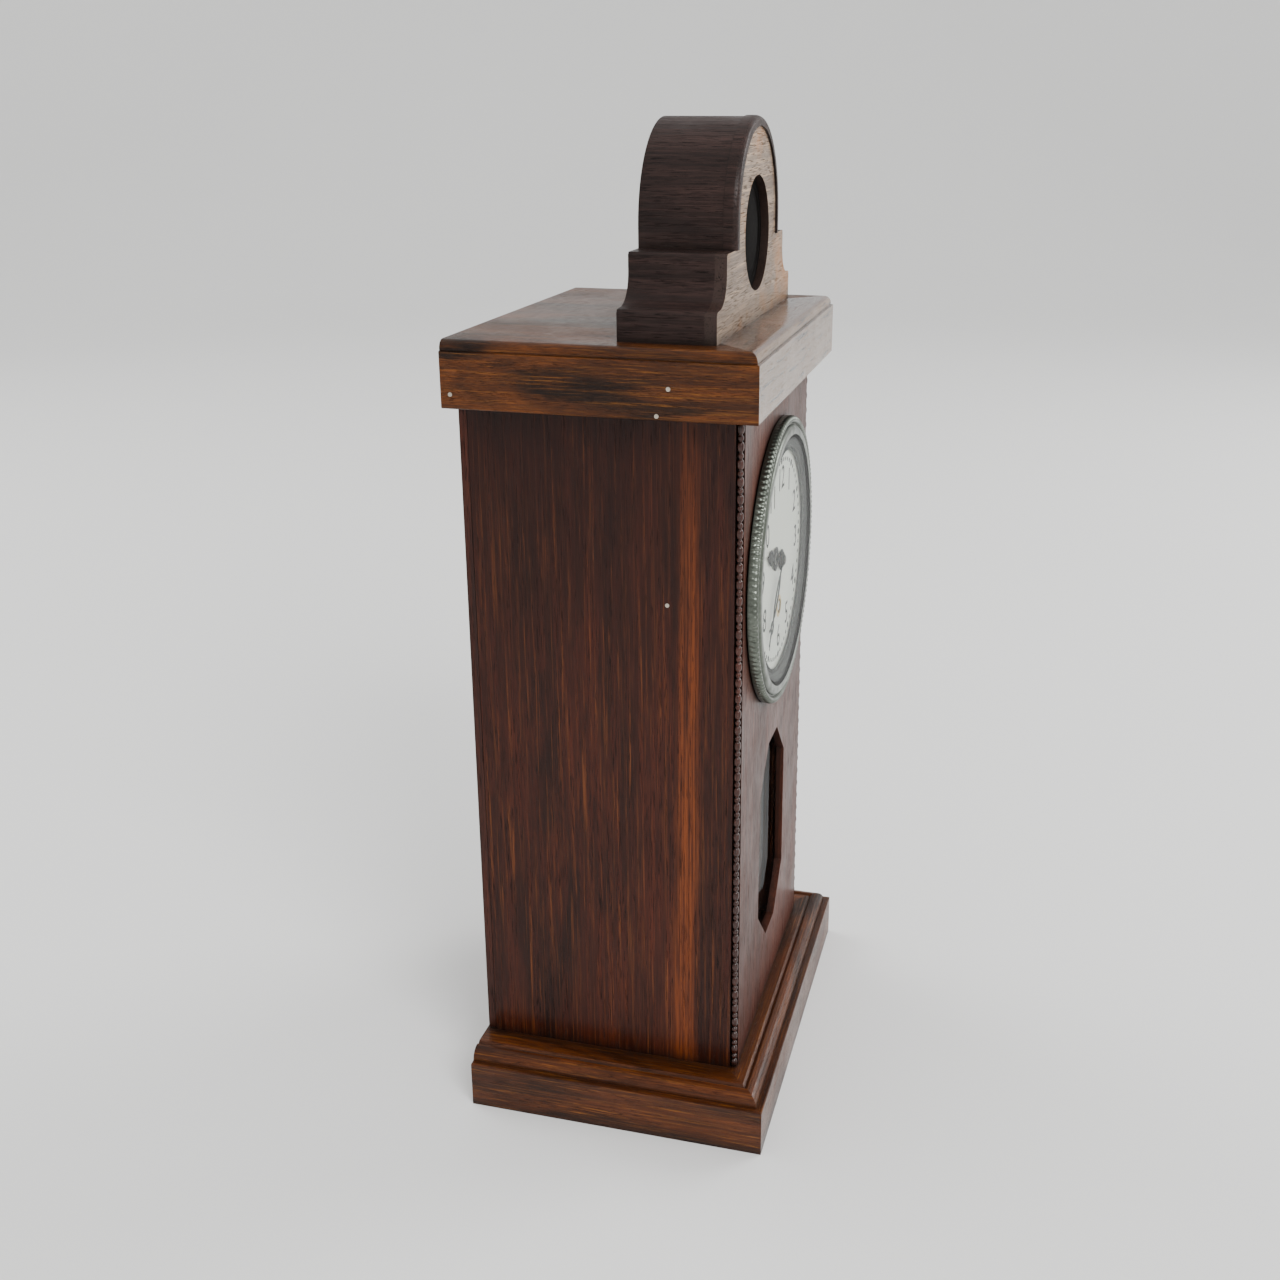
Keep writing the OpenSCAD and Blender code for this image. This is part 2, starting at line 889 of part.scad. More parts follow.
module winding_arbor() {
    color(steel)
        union() {
            slab(dial_y + 0.1, panel_back - 0.3, winding_at)
                square(square_w, center = true);
            rod(winding_r, panel_back - 0.3 - eps, drum_back + cover_t + 0.5, winding_at);
            rod(rear_winding_r, drum_back + cover_t, plate2_back, winding_at);
        }
}

module ratchet_outline() {
    step = 360 / ratchet_teeth;
    polygon([for (i = [0:ratchet_teeth - 1])
        for (p = [[0, ratchet_tip], [0.06, ratchet_tip - 1.3], [0.9, ratchet_tip - 0.1]])
            let (a = (i + p[0]) * step)
            [p[1] * cos(a), p[1] * sin(a)]]);
}

module ratchet_wheel() {
    color(steel)
        slab(ratchet_y, ratchet_y + ratchet_t, winding_at)
            difference() {
                ratchet_outline();
                square(square_w, center = true);
            }
}

click_r = 2.6;

// a lever on its stud, its nose held just clear of the ratchet's teeth
module click() {
    nose = [9.2, 0.4];
    root = click_at - winding_at;
    color(steel)
        slab(ratchet_y, ratchet_y + ratchet_t, winding_at)
            difference() {
                polygon(concat(arc(root[0], root[1], click_r, click_r, -170, 70, 16),
                    [nose + [1.6, 1.4], nose + [-0.75, 0.2], nose + [-0.6, -1.3]]));
                translate(root)
                    circle(stud_r + running);
            }
}

module click_stud() {
    color(steel)
        union() {
            rod(stud_r, ratchet_y - 0.3, plate1_back, click_at);
            rod(1.6, ratchet_y - 1, ratchet_y - 0.3, click_at);
        }
}

// a leaf spring that presses on the back of the click
module click_spring() {
    foot = click_at + [8, 14];
    tip = click_at + [3.4, 1.5];
    color(brass)
        union() {
            slab(ratchet_y, ratchet_y + 0.8)
                polygon([foot + [-1, -3], tip + [0, 0], tip + [0.5, -0.2], foot + [0, -3]]);
            slab(ratchet_y, panel_back)
                translate(foot)
                    square([3, 6], center = true);
        }
}

// ---------- going train ----------

centre_wheel_y = plate2_y - 4.1;
centre_pinion_y = great_y - 0.4;
third_wheel_y = plate1_back + 6.5;
escape_wheel_y = plate1_back + 11.5;
wheel_t = 1.2;
leaf_margin = 0.6;

module centre_arbor() {
    color(steel)
        union() {
            rod(arbor_r, nut_y, plate2_y - 0.5, centre_at, $fn = 32);
            rod(pivot_r, plate2_y - 1, plate2_back, centre_at, $fn = 32);
            slab(centre_pinion_y, great_y + great_t + 0.4, centre_at)
                gear(centre_leaves, great_m, centre_pinion_turn);
        }
}

module centre_wheel() {
    color(brass)
        slab(centre_wheel_y, centre_wheel_y + wheel_t, centre_at)
            difference() {
                crossed_wheel(centre_teeth, centre_m, 0, 2, 3.4);
                circle(arbor_r);
            }
}

// an arbor with a pinion, thin pivots in both plates and a wheel
module wheel_and_pinion(at, wheel_y, pinion_y0, pinion_y1) {
    rod(arbor_r, plate1_back + 0.4, plate2_y - 0.4, at, $fn = 32);
    rod(pivot_r, plate1_y, plate2_back, at, $fn = 32);
    slab(pinion_y0, pinion_y1, at)
        children(1);
    slab(wheel_y, wheel_y + wheel_t, at)
        children(0);
}

module third_wheel() {
    color(brass)
        wheel_and_pinion(third_at, third_wheel_y, centre_wheel_y - leaf_margin,
            centre_wheel_y + wheel_t + leaf_margin) {
            crossed_wheel(third_teeth, third_m, 0, 1.8, 2.8);
            gear(third_leaves, centre_m, third_pinion_turn);
        }
}

escape_r = 11;

// saw-shaped teeth that lean forward, as on a recoil escapement
module escape_outline() {
    step = 360 / escape_teeth;
    difference() {
        polygon([for (i = [0:escape_teeth - 1])
            for (p = [[0, escape_r], [0.12, escape_r], [0.25, escape_r - 1.6], [0.75, escape_r - 1.6]])
                let (a = -(i + p[0]) * step)
                [p[1] * cos(a), p[1] * sin(a)]]);
        for (a = [0:90:270])
            rotate(a + 45)
                intersection() {
                    difference() {
                        circle(escape_r - 3.2);
                        circle(2.6);
                    }
                    translate([2.2, 2.2])
                        square(escape_r);
                }
    }
}

module escape_wheel() {
    color(brass)
        wheel_and_pinion(escape_at, escape_wheel_y, third_wheel_y - leaf_margin,
            third_wheel_y + wheel_t + leaf_margin) {
            escape_outline();
            gear(escape_leaves, third_m, escape_pinion_turn);
        }
}

crutch_arbor_r = 1;
crutch_y = pend_y - 4;
crutch_l = 30;
rod_r = 1;

// anchor, its arbor, and the crutch with its fork behind the back plate
module anchor() {
    drop = anchor_z - escape_at[1];
    pallet = [8.7, -drop + 8.7];
    fork_x = rod_r + 0.8;
    color(steel)
        union() {
            slab(escape_wheel_y - 0.1, escape_wheel_y + wheel_t + 0.1, anchor_at)
                for (s = [-1, 1])
                    polygon([[0, 1.8], [s * 5, 0.8], [s * 10.2, -4.5], [s * (pallet[0] + 1.6), pallet[1] + 0.4],
                        [s * pallet[0], pallet[1]], [s * 8.2, -4.3], [s * 4.2, -1.6], [0, -1.8]]);
            rod(crutch_arbor_r, plate1_back + 0.4, crutch_y + 0.6, anchor_at, $fn = 32);
            rod(pivot_r, plate1_y, plate1_back + 1, anchor_at, $fn = 32);
            translate([0, crutch_y, anchor_z - crutch_l])
                cylinder(h = crutch_l, r = 0.6, $fn = 24);
            block([-fork_x - 0.4, crutch_y - 0.4, anchor_z - crutch_l - 0.4],
                [fork_x + 0.4, crutch_y + 0.4, anchor_z - crutch_l + 0.4]);
            for (s = [-1, 1])
                rod(0.4, crutch_y, pend_y + 2.4, [s * fork_x, anchor_z - crutch_l], $fn = 24);
        }
}

// ---------- pendulum ----------

spring_bottom = anchor_z - 5;
hanger_r = 0.6;
cheek_in = 1.6;
cheek_out = 3;
bob_t = 8;
bob_rim = 1.6;
nut_z = bob_z - bob_r - 3.4;
rod_bottom = nut_z - 4;

// an arm on the back plate with two cheeks that carry the hanger pin
module suspension_cock() {
    arm_z = anchor_z + 3.4;
    color(brass)
        difference() {
            union() {
                block([-5, plate2_back, arm_z], [5, plate2_back + 1.6, arm_z + 5]);
                block([-2.6, plate2_back, arm_z], [2.6, pend_y + cheek_out, arm_z + 3]);
                for (s = [-1, 1]) {
                    near = pend_y + min(s * cheek_in, s * cheek_out);
                    far = pend_y + max(s * cheek_in, s * cheek_out);
                    block([-2, near, anchor_z - 1.6], [2, far, arm_z + eps]);
                }
            }
            rod(hanger_r + running, pend_y - 4, pend_y + 4, anchor_at, $fn = 32);
        }
}

// hanger pin, steel suspension strip, clamp and rod
module pendulum_rod() {
    color(brass)
        union() {
            rod(hanger_r, pend_y - cheek_out, pend_y + cheek_out, anchor_at, $fn = 32);
            rod(1.4, pend_y - 1.2, pend_y + 1.2, anchor_at, $fn = 32);
            block([-0.15, pend_y - 1.2, spring_bottom - 1], [0.15, pend_y + 1.2, anchor_z]);
            block([-1.2, pend_y - 2, spring_bottom - 4], [1.2, pend_y + 2, spring_bottom]);
            translate([0, pend_y, rod_bottom])
                cylinder(h = spring_bottom - 3 - rod_bottom, r = rod_r, $fn = 32);
        }
}

// a lens of brass threaded on the rod
module bob() {
    color(brass)
        difference() {
            turned([0, bob_z], pend_y)
                polygon(concat([[0, -bob_t / 2]], arc(0, -bob_rim, bob_r, bob_t / 2 - bob_rim, -84, 0, 7),
                    arc(0, bob_rim, bob_r, bob_t / 2 - bob_rim, 0, 84, 7), [[0, bob_t / 2]]));
            translate([0, pend_y, bob_z - bob_r - 1])
                cylinder(h = 2 * bob_r + 2, r = rod_r + running / 2, $fn = 32);
        }
}

// the knurled nut under the bob that sets the rate
module rating_nut() {
    color(brass)
        translate([0, pend_y, nut_z])
            difference() {
                union() {
                    linear_extrude(2.4)
                        gear(24, 0.28);
                    cylinder(h = 3, r = 2.2);
                }
                translate([0, 0, -1])
                    cylinder(h = 6, r = rod_r + running, $fn = 32);
            }
}

// ---------- back door ----------

door_half = body_half - 0.4;
door_z0 = base_h + 0.4;
door_z1 = cap_z - 0.4;
door_pin_x = body_half + 0.9;
door_pin_y = door_y + 0.9;
door_knuckle_r = 1.2;
door_pin_r = 0.6;
door_hinge_z = [base_h + 38, cap_z - 38];
door_hinge_half = 9;
third_of_hinge = 6;
leaf_t = 0.8;

module back_door() {
    color(dark_oak)
        block([-door_half, door_front, door_z0], [door_half, door_y, door_z1]);
}

module door_leaves() {
    color(brass)
        for (z = door_hinge_z)
            difference() {
                union() {
                    upright(door_pin_x, door_pin_y, door_knuckle_r, z - third_of_hinge / 2, z + third_of_hinge / 2);
                    block([door_half - 13, door_y, z - door_hinge_half], [door_half - 1.6, door_y + leaf_t, z + door_hinge_half]);
                    block([door_half - 2, door_y, z - third_of_hinge / 2],
                        [door_pin_x, door_y + leaf_t, z + third_of_hinge / 2]);
                }
                upright(door_pin_x, door_pin_y, door_pin_r + running, z - 10, z + 10);
            }
}

module door_hinge_leaves() {
    color(brass)
        for (z = door_hinge_z)
            for (s = [-1, 1]) {
                z0 = z + (s > 0 ? third_of_hinge / 2 + 0.3 : -door_hinge_half);
                z1 = z + (s > 0 ? door_hinge_half : -third_of_hinge / 2 - 0.3);
                difference() {
                    union() {
                        upright(door_pin_x, door_pin_y, door_knuckle_r, z0, z1);
                        block([body_half, side_back - 9, z0], [body_half + leaf_t, door_pin_y, z1]);
                    }
                    upright(door_pin_x, door_pin_y, door_pin_r, z - 10, z + 10);
                }
            }
}

module door_hinge_pins() {
    color(steel)
        for (z = door_hinge_z)
            upright(door_pin_x, door_pin_y, door_pin_r, z - door_hinge_half, z + door_hinge_half);
}

latch_at = [0, cap_z + 5];
latch_t = 1.2;
latch_gap = 0.3;

// turns on its screw in the back rail; drawn turned aside, it laps over the door's top edge when upright
module turn_button() {
    color(brass)
        slab(back_y + latch_gap, back_y + latch_gap + latch_t, latch_at)
            difference() {
                union() {
                    circle(3.6);
                    translate([-13, -2.4])
                        square([13, 4.8]);
                    translate([-13, 0])
                        circle(2.4);
                }
                circle(screw_r + running);
            }
}

module latch_screw() {
    head_y = back_y + latch_gap + latch_t;
    color(steel)
        difference() {
            union() {
                turned(latch_at, head_y + 1)
                    polygon([[0, 0], [1.6, 0], [2.4, 0.5], [2.4, 0.7], [0, 0.7]]);
                rod(screw_r, back_y - 9, head_y + 0.5, latch_at, $fn = 32);
            }
            translate([latch_at[0], head_y + 1, latch_at[1]])
                cube([6, 0.8, 0.5], center = true);
        }
}

// Studs that the click and the minute wheel turn on, riveted to the plates.
module plate_studs() {
    click_stud();
    minute_stud();
}

// Hinge pins of the bezel and of the door.
module hinge_pins() {
    bezel_hinge_pin();
    door_hinge_pins();
}

// Hinge leaves fixed to the case, for the bezel and for the door.
module hinge_leaves() {
    bezel_hinge_leaf();
    door_hinge_leaves();
}

// Screws of the movement and of the turn button.
module screws() {
    movement_screws();
    latch_screw();
}

base_front();
base_left();
base_right();
bottom_board();
side_left();
side_right();
front_panel();
pearl_strips();
cap_front();
cap_left();
cap_right();
top_board();
back_rail();
pediment_block();
pediment_face();
arch_bead();
roundel();
pediment_dowels();
glue_blocks();
case_nails();
window_glass();
window_stops();
dial_plate();
winding_eyelet();
front_plate();
back_plate();
pillars();
screws();
suspension_cock();
click_spring();
plate_studs();
hinge_leaves();
hinge_pins();
bezel();
sight_ring();
dial_glass();
back_door();
door_leaves();
turn_button();
centre_arbor();
centre_wheel();
cannon_pinion();
minute_hand();
hand_nut();
hour_wheel();
hour_hand();
minute_wheel();
barrel();
barrel_cover();
mainspring();
winding_arbor();
ratchet_wheel();
click();
third_wheel();
escape_wheel();
anchor();
pendulum_rod();
bob();
rating_nut();
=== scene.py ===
"""Look of a small oak mantel clock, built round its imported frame."""

import math

import bmesh
import bpy
from bpy.props import FloatProperty, FloatVectorProperty, IntProperty, PointerProperty
from mathutils import Matrix, Vector


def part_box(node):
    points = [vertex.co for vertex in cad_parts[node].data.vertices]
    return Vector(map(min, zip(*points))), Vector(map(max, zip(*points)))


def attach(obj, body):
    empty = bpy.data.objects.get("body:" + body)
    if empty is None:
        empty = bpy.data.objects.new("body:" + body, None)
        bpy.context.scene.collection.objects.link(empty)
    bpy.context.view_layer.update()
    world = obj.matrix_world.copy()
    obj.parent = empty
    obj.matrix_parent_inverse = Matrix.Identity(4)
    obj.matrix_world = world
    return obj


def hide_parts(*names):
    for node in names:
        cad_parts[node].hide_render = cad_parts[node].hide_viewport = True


bl_info = {
    "name": "Oak Mantel Clock",
    "version": (1, 0, 0),
    "blender": (4, 5, 0),
    "location": "View3D > Sidebar > Clock",
    "description": "Builds the case, dial and movement finishes of an oak mantel clock",
    "category": "Object",
}

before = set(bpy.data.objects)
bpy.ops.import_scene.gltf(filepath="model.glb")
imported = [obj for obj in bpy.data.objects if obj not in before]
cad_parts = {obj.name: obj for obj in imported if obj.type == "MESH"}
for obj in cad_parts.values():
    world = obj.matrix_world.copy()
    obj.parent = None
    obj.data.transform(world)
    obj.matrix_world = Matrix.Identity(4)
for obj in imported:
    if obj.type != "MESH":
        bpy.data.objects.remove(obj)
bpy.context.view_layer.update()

MM = 0.001
FRONT_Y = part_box("front_panel")[0].y
DIAL_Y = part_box("dial_plate")[0].y
NUT_LOW, NUT_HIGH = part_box("hand_nut")
CENTRE = Vector((0, 0, (NUT_LOW.z + NUT_HIGH.z) / 2))
BEZEL_INNER, BEZEL_OUTER, DIAL_OPENING = 48.6, 55.0, 42.0
BEZEL_PIN_X, BEZEL_PIN_RADIUS, BEZEL_ARM_X = 56.7 * MM, 0.5 * MM, 54.3 * MM
HOUR_AT, MINUTE_AT = 9 + 37 / 60, 37


# ---------------------------------------------------------------- node groups

def socket(group, name, kind, way="INPUT", value=None):
    item = group.interface.new_socket(name=name, in_out=way, socket_type="NodeSocket" + kind)
    if value is not None:
        item.default_value = value
    return item


def add(tree, kind, **settings):
    """Adds a shader node and sets its properties and, by name or number, its input values."""
    node = tree.nodes.new("ShaderNode" + kind)
    for key, value in settings.items():
        if key == "inputs":
            for name, given in value.items():
                node.inputs[name].default_value = given
        else:
            setattr(node, key, value)
    return node


def math_node(tree, operation, a, b=None, clamp=False):
    node = add(tree, "Math", operation=operation, use_clamp=clamp)
    for slot, value in enumerate((a, b)):
        if value is None:
            continue
        if isinstance(value, (int, float)):
            node.inputs[slot].default_value = value
        else:
            tree.links.new(value, node.inputs[slot])
    return node.outputs[0]


def mix_colour(tree, fac, a, b, blend="MIX"):
    node = add(tree, "Mix", data_type="RGBA", blend_type=blend)
    for slot, value in ((0, fac), (6, a), (7, b)):
        if isinstance(value, (int, float, tuple)):
            node.inputs[slot].default_value = value
        else:
            tree.links.new(value, node.inputs[slot])
    return node.outputs[2]


def ramp(tree, fac, low, high):
    """A smooth step of a value between two levels."""
    node = add(tree, "MapRange", interpolation_type="SMOOTHSTEP")
    node.inputs["From Min"].default_value = low
    node.inputs["From Max"].default_value = high
    tree.links.new(fac, node.inputs["Value"])
    return node.outputs[0]


def noise(tree, vector, scale, detail=3.0, rough=0.55, distortion=0.0):
    """Noise whose size differs along and across the grain. scale is per millimetre on each axis."""
    mapping = add(tree, "Mapping", inputs={"Scale": scale})
    tree.links.new(vector, mapping.inputs["Vector"])
    node = add(tree, "TexNoise", inputs={
        "Scale": 1.0, "Detail": detail, "Roughness": rough, "Distortion": distortion})
    tree.links.new(mapping.outputs[0], node.inputs["Vector"])
    return node.outputs["Fac"]


def new_group(name):
    group = bpy.data.node_groups.new(name, "ShaderNodeTree")
    inside = group.nodes.new("NodeGroupInput")
    outside = group.nodes.new("NodeGroupOutput")
    return group, inside, outside


def oak_group():
    """Stained oak: bands, streaks, fine lines and open pores along the vector's Z axis, in millimetres."""
    group, given, out = new_group("Stained oak figure")
    socket(group, "Vector", "Vector")
    socket(group, "Dark", "Color", value=(0.01, 0.005, 0.003, 1))
    socket(group, "Mid", "Color", value=(0.05, 0.02, 0.01, 1))
    socket(group, "Light", "Color", value=(0.2, 0.08, 0.03, 1))
    socket(group, "Streaks", "Float", value=0.5)
    socket(group, "Color", "Color", "OUTPUT")
    socket(group, "Height", "Float", "OUTPUT")
    socket(group, "Pores", "Float", "OUTPUT")
    v = given.outputs["Vector"]
    broad = ramp(group, noise(group, v, (0.04, 0.04, 0.008), 5, 0.65, 0.8), 0.3, 0.7)
    streak = ramp(group, noise(group, v, (0.9, 0.9, 0.02), 4, 0.7, 0.4), 0.5, 0.74)
    fine = noise(group, v, (2.2, 2.2, 0.06), 4, 0.7)
    ticks = ramp(group, noise(group, v, (3.2, 3.2, 0.14), 3, 0.6), 0.54, 0.64)
    rings = ramp(group, noise(group, v, (0.5, 0.5, 0.009), 3, 0.6, 0.5), 0.38, 0.62)
    base = mix_colour(group, broad, given.outputs["Dark"], given.outputs["Mid"])
    lit = math_node(group, "MULTIPLY", streak, given.outputs["Streaks"])
    base = mix_colour(group, lit, base, given.outputs["Light"])
    shade = math_node(group, "MULTIPLY_ADD", fine, 1.5)
    shade.node.inputs[2].default_value = 0.2
    dim = math_node(group, "MULTIPLY_ADD", rings, 0.4)
    dim.node.inputs[2].default_value = 0.7
    shade = math_node(group, "MULTIPLY", shade, dim)
    grey = add(group, "CombineColor")
    for channel in range(3):
        group.links.new(shade, grey.inputs[channel])
    base = mix_colour(group, 1.0, base, grey.outputs[0], "MULTIPLY")
    pores = math_node(group, "MULTIPLY", ticks, math_node(group, "ADD", rings, 0.25, clamp=True))
    base = mix_colour(group, math_node(group, "MULTIPLY", pores, 0.75), base, (0.003, 0.002, 0.002, 1))
    height = math_node(group, "SUBTRACT", math_node(group, "MULTIPLY", fine, 0.3), pores)
    group.links.new(base, out.inputs["Color"])
    group.links.new(height, out.inputs["Height"])
    group.links.new(pores, out.inputs["Pores"])
    return group


def polish_group():
    """Polish: painted shade, with grime, that darkens the corners and joints, and cloudy patches where it has been
    handled.
    """
    group, given, out = new_group("Polish and corner shade")
    socket(group, "Vector", "Vector")
    socket(group, "Color", "Color", value=(0.2, 0.1, 0.05, 1))
    socket(group, "Shade and grime", "Float", value=0.8)
    socket(group, "Reach", "Float", value=0.006)
    socket(group, "Color", "Color", "OUTPUT")
    socket(group, "Cloud", "Float", "OUTPUT")
    # Painted shade: ambient occlusion darkens the colour in corners and joints, where contact shadow falls; it stands
    # for grime as well.
    nook = add(group, "AmbientOcclusion", samples=6)
    group.links.new(given.outputs["Reach"], nook.inputs["Distance"])
    corner = ramp(group, nook.outputs["AO"], 0.95, 0.35)
    shade_and_grime = math_node(group, "MULTIPLY", corner, given.outputs["Shade and grime"])
    cloud = ramp(group, noise(group, given.outputs["Vector"], (0.03, 0.03, 0.03), 5, 0.6), 0.35, 0.7)
    smear = noise(group, given.outputs["Vector"], (0.5, 0.5, 0.5), 4, 0.7)
    cloud = math_node(group, "MULTIPLY", cloud, math_node(group, "ADD", smear, 0.5))
    # Mixing towards near-black paints that corner shade and grime into the colour.
    colour = mix_colour(group, shade_and_grime, given.outputs["Color"], (0.006, 0.004, 0.003, 1))
    group.links.new(colour, out.inputs["Color"])
    group.links.new(cloud, out.inputs["Cloud"])
    return group


def metal_group():
    """Dulled metal: tarnish in patches, fine scratches and darker corners."""
    group, given, out = new_group("Dulled metal")
    socket(group, "Vector", "Vector")
    socket(group, "Clean", "Color", value=(0.6, 0.6, 0.6, 1))
    socket(group, "Tarnish", "Color", value=(0.2, 0.2, 0.2, 1))
    socket(group, "Amount", "Float", value=0.5)
    socket(group, "Color", "Color", "OUTPUT")
    socket(group, "Mask", "Float", "OUTPUT")
    socket(group, "Height", "Float", "OUTPUT")
    v = given.outputs["Vector"]
    patch = ramp(group, noise(group, v, (0.12, 0.12, 0.12), 5, 0.65), 0.35, 0.7)
    speck = ramp(group, noise(group, v, (1.6, 1.6, 1.6), 4, 0.7), 0.5, 0.75)
    nook = add(group, "AmbientOcclusion", samples=6, inputs={"Distance": 0.0025})
    corner = ramp(group, nook.outputs["AO"], 0.9, 0.3)
    mask = math_node(group, "MAXIMUM", math_node(group, "MULTIPLY", patch, 0.6), speck)
    mask = math_node(group, "MULTIPLY", mask, given.outputs["Amount"])
    mask = math_node(group, "MAXIMUM", mask, corner, clamp=True)
    colour = mix_colour(group, mask, given.outputs["Clean"], given.outputs["Tarnish"])
    scratch = noise(group, v, (3.0, 0.4, 3.0), 2, 0.5)
    group.links.new(colour, out.inputs["Color"])
    group.links.new(mask, out.inputs["Mask"])
    group.links.new(scratch, out.inputs["Height"])
    return group


GROUPS = {}
GRAIN_TURN = {"Z": (0, 0, 0), "X": (0, math.radians(-90), 0), "Y": (math.radians(90), 0, 0)}


def group_node(tree, name):
    if name not in GROUPS:
        GROUPS[name] = {"oak": oak_group, "polish": polish_group, "metal": metal_group}[name]()
    node = tree.nodes.new("ShaderNodeGroup")
    node.node_tree = GROUPS[name]
    return node


def start_material(name, turn=(0, 0, 0), shift=(0, 0, 0)):
    """A material with its shader and the place on the object, in millimetres."""
    material = bpy.data.materials.new(name)
    material.use_nodes = True
    tree = material.node_tree
    shader = tree.nodes["Principled BSDF"]
    place = add(tree, "TexCoord")
    scaled = add(tree, "Mapping", inputs={"Scale": (1000, 1000, 1000), "Rotation": turn, "Location": shift})
    tree.links.new(place.outputs["Object"], scaled.inputs["Vector"])
    return material, tree, shader, scaled.outputs[0]


def bump(tree, shader, height, distance, strength=1.0):
    node = add(tree, "Bump", inputs={"Distance": distance * MM, "Strength": strength})
    tree.links.new(height, node.inputs["Height"])
    tree.links.new(node.outputs[0], shader.inputs["Normal"])


def oak(name, grain, colours, streaks=0.5, shade_and_grime=0.8, gloss=0.3, coat=0.2, seed=0.0,
        pore=0.05, band=None, closeness=1.0):
    """Varnished oak with its grain along one axis. colours are dark, middle and light."""
    material, tree, shader, place = start_material(name, GRAIN_TURN[grain], (seed, seed * 1.7, seed * 0.6))
    figure = group_node(tree, "oak")
    closer = add(tree, "VectorMath", operation="SCALE", inputs={"Scale": closeness})
    tree.links.new(place, closer.inputs[0])
    tree.links.new(closer.outputs[0], figure.inputs["Vector"])
    for key, value in zip(("Dark", "Mid", "Light"), colours):
        figure.inputs[key].default_value = (*value, 1)
    figure.inputs["Streaks"].default_value = streaks
    colour = figure.outputs["Color"]
    if band:
        colour = band(tree, place, colour, figure.outputs["Pores"])
    # The polish node paints shade and grime into corners and joints, and clouds the roughness.
    polish = group_node(tree, "polish")
    tree.links.new(place, polish.inputs["Vector"])
    tree.links.new(colour, polish.inputs["Color"])
    polish.inputs["Shade and grime"].default_value = shade_and_grime
    tree.links.new(polish.outputs["Color"], shader.inputs["Base Color"])
    rough = math_node(tree, "MULTIPLY_ADD", polish.outputs["Cloud"], 0.16)
    rough.node.inputs[2].default_value = gloss
    rough = math_node(tree, "ADD", rough, math_node(tree, "MULTIPLY", figure.outputs["Pores"], 0.3))
    tree.links.new(rough, shader.inputs["Roughness"])
    shader.inputs["Specular IOR Level"].default_value = 0.14
    shader.inputs["Coat Roughness"].default_value = 0.22
    sealed = math_node(tree, "MULTIPLY_ADD", figure.outputs["Pores"], -coat)
    sealed.node.inputs[2].default_value = coat
    tree.links.new(sealed, shader.inputs["Coat Weight"])
    bump(tree, shader, figure.outputs["Height"], pore)
    return material


def facing_front(tree):
    """How far a surface faces forward, from the object's own normals."""
    split = add(tree, "SeparateXYZ")
    tree.links.new(add(tree, "TexCoord").outputs["Normal"], split.inputs[0])
    return ramp(tree, split.outputs["Y"], -0.55, -0.85)


def dark_sides(tree, place, colour, pores):
    """The pale face keeps the dark stain of the block on its edges, and a warm patch low on the left."""
    stained = mix_colour(tree, pores, (0.032, 0.017, 0.013, 1), (0.006, 0.004, 0.003, 1))
    patch = ramp(tree, noise(tree, place, (0.03, 0.03, 0.03), 3, 0.6), 0.5, 0.7)
    colour = mix_colour(tree, math_node(tree, "MULTIPLY", patch, 0.6), colour, (0.4, 0.17, 0.05, 1))
    return mix_colour(tree, facing_front(tree), stained, colour)


def bleached_front(tree, place, colour, pores):
    """Painted sheen: the front of the cap is painted paler for its grazing sheen, and the open grain shows through it
    as long dark cracks.
    """
    cracks = ramp(tree, noise(tree, place, (0.8, 0.8, 0.03), 4, 0.6, 0.5), 0.56, 0.62)
    # pale here is the painted sheen colour, with the grain's dark cracks mixed in.
    pale = mix_colour(tree, cracks, (0.2, 0.12, 0.06, 1), (0.01, 0.006, 0.003, 1))
    return mix_colour(tree, math_node(tree, "MULTIPLY", facing_front(tree), 0.75), colour, pale)


def metal(name, clean, tarnish, amount, rough, scratches=0.01):
    material, tree, shader, place = start_material(name)
    dull = group_node(tree, "metal")
    tree.links.new(place, dull.inputs["Vector"])
    dull.inputs["Clean"].default_value = (*clean, 1)
    dull.inputs["Tarnish"].default_value = (*tarnish, 1)
    dull.inputs["Amount"].default_value = amount
    tree.links.new(dull.outputs["Color"], shader.inputs["Base Color"])
    spread = math_node(tree, "MULTIPLY_ADD", dull.outputs["Mask"], 0.3)
    spread.node.inputs[2].default_value = rough
    tree.links.new(spread, shader.inputs["Roughness"])
    shader.inputs["Metallic"].default_value = 1.0
    bump(tree, shader, dull.outputs["Height"], scratches)
    return material


def lacquer(name, colour, worn, rough, shine=0.5):
    """Smooth lacquer or enamel with fine specks and faint wear."""
    material, tree, shader, place = start_material(name)
    speck = ramp(tree, noise(tree, place, (0.9, 0.9, 0.9), 5, 0.7), 0.6, 0.8)
    haze = noise(tree, place, (0.05, 0.05, 0.05), 4, 0.6)
    tint = mix_colour(tree, math_node(tree, "MULTIPLY", speck, 0.5), (*colour, 1), (*worn, 1))
    tint = mix_colour(tree, math_node(tree, "MULTIPLY", haze, 0.25), tint, (*worn, 1))
    tree.links.new(tint, shader.inputs["Base Color"])
    spread = math_node(tree, "MULTIPLY_ADD", haze, 0.15)
    spread.node.inputs[2].default_value = rough
    tree.links.new(spread, shader.inputs["Roughness"])
    shader.inputs["Specular IOR Level"].default_value = shine
    bump(tree, shader, noise(tree, place, (0.4, 0.4, 0.4), 3, 0.5), 0.01)
    return material


def glass(name, tint, rough):
    """Old clear glass, a little wavy."""
    material, tree, shader, place = start_material(name)
    wave = noise(tree, place, (0.03, 0.03, 0.012), 2, 0.5)
    bump(tree, shader, wave, 0.01)
    shader.inputs["Base Color"].default_value = (*tint, 1)
    shader.inputs["Transmission Weight"].default_value = 1.0
    shader.inputs["Roughness"].default_value = rough
    shader.inputs["IOR"].default_value = 1.03
    return material


# ---------------------------------------------------------------- shapes

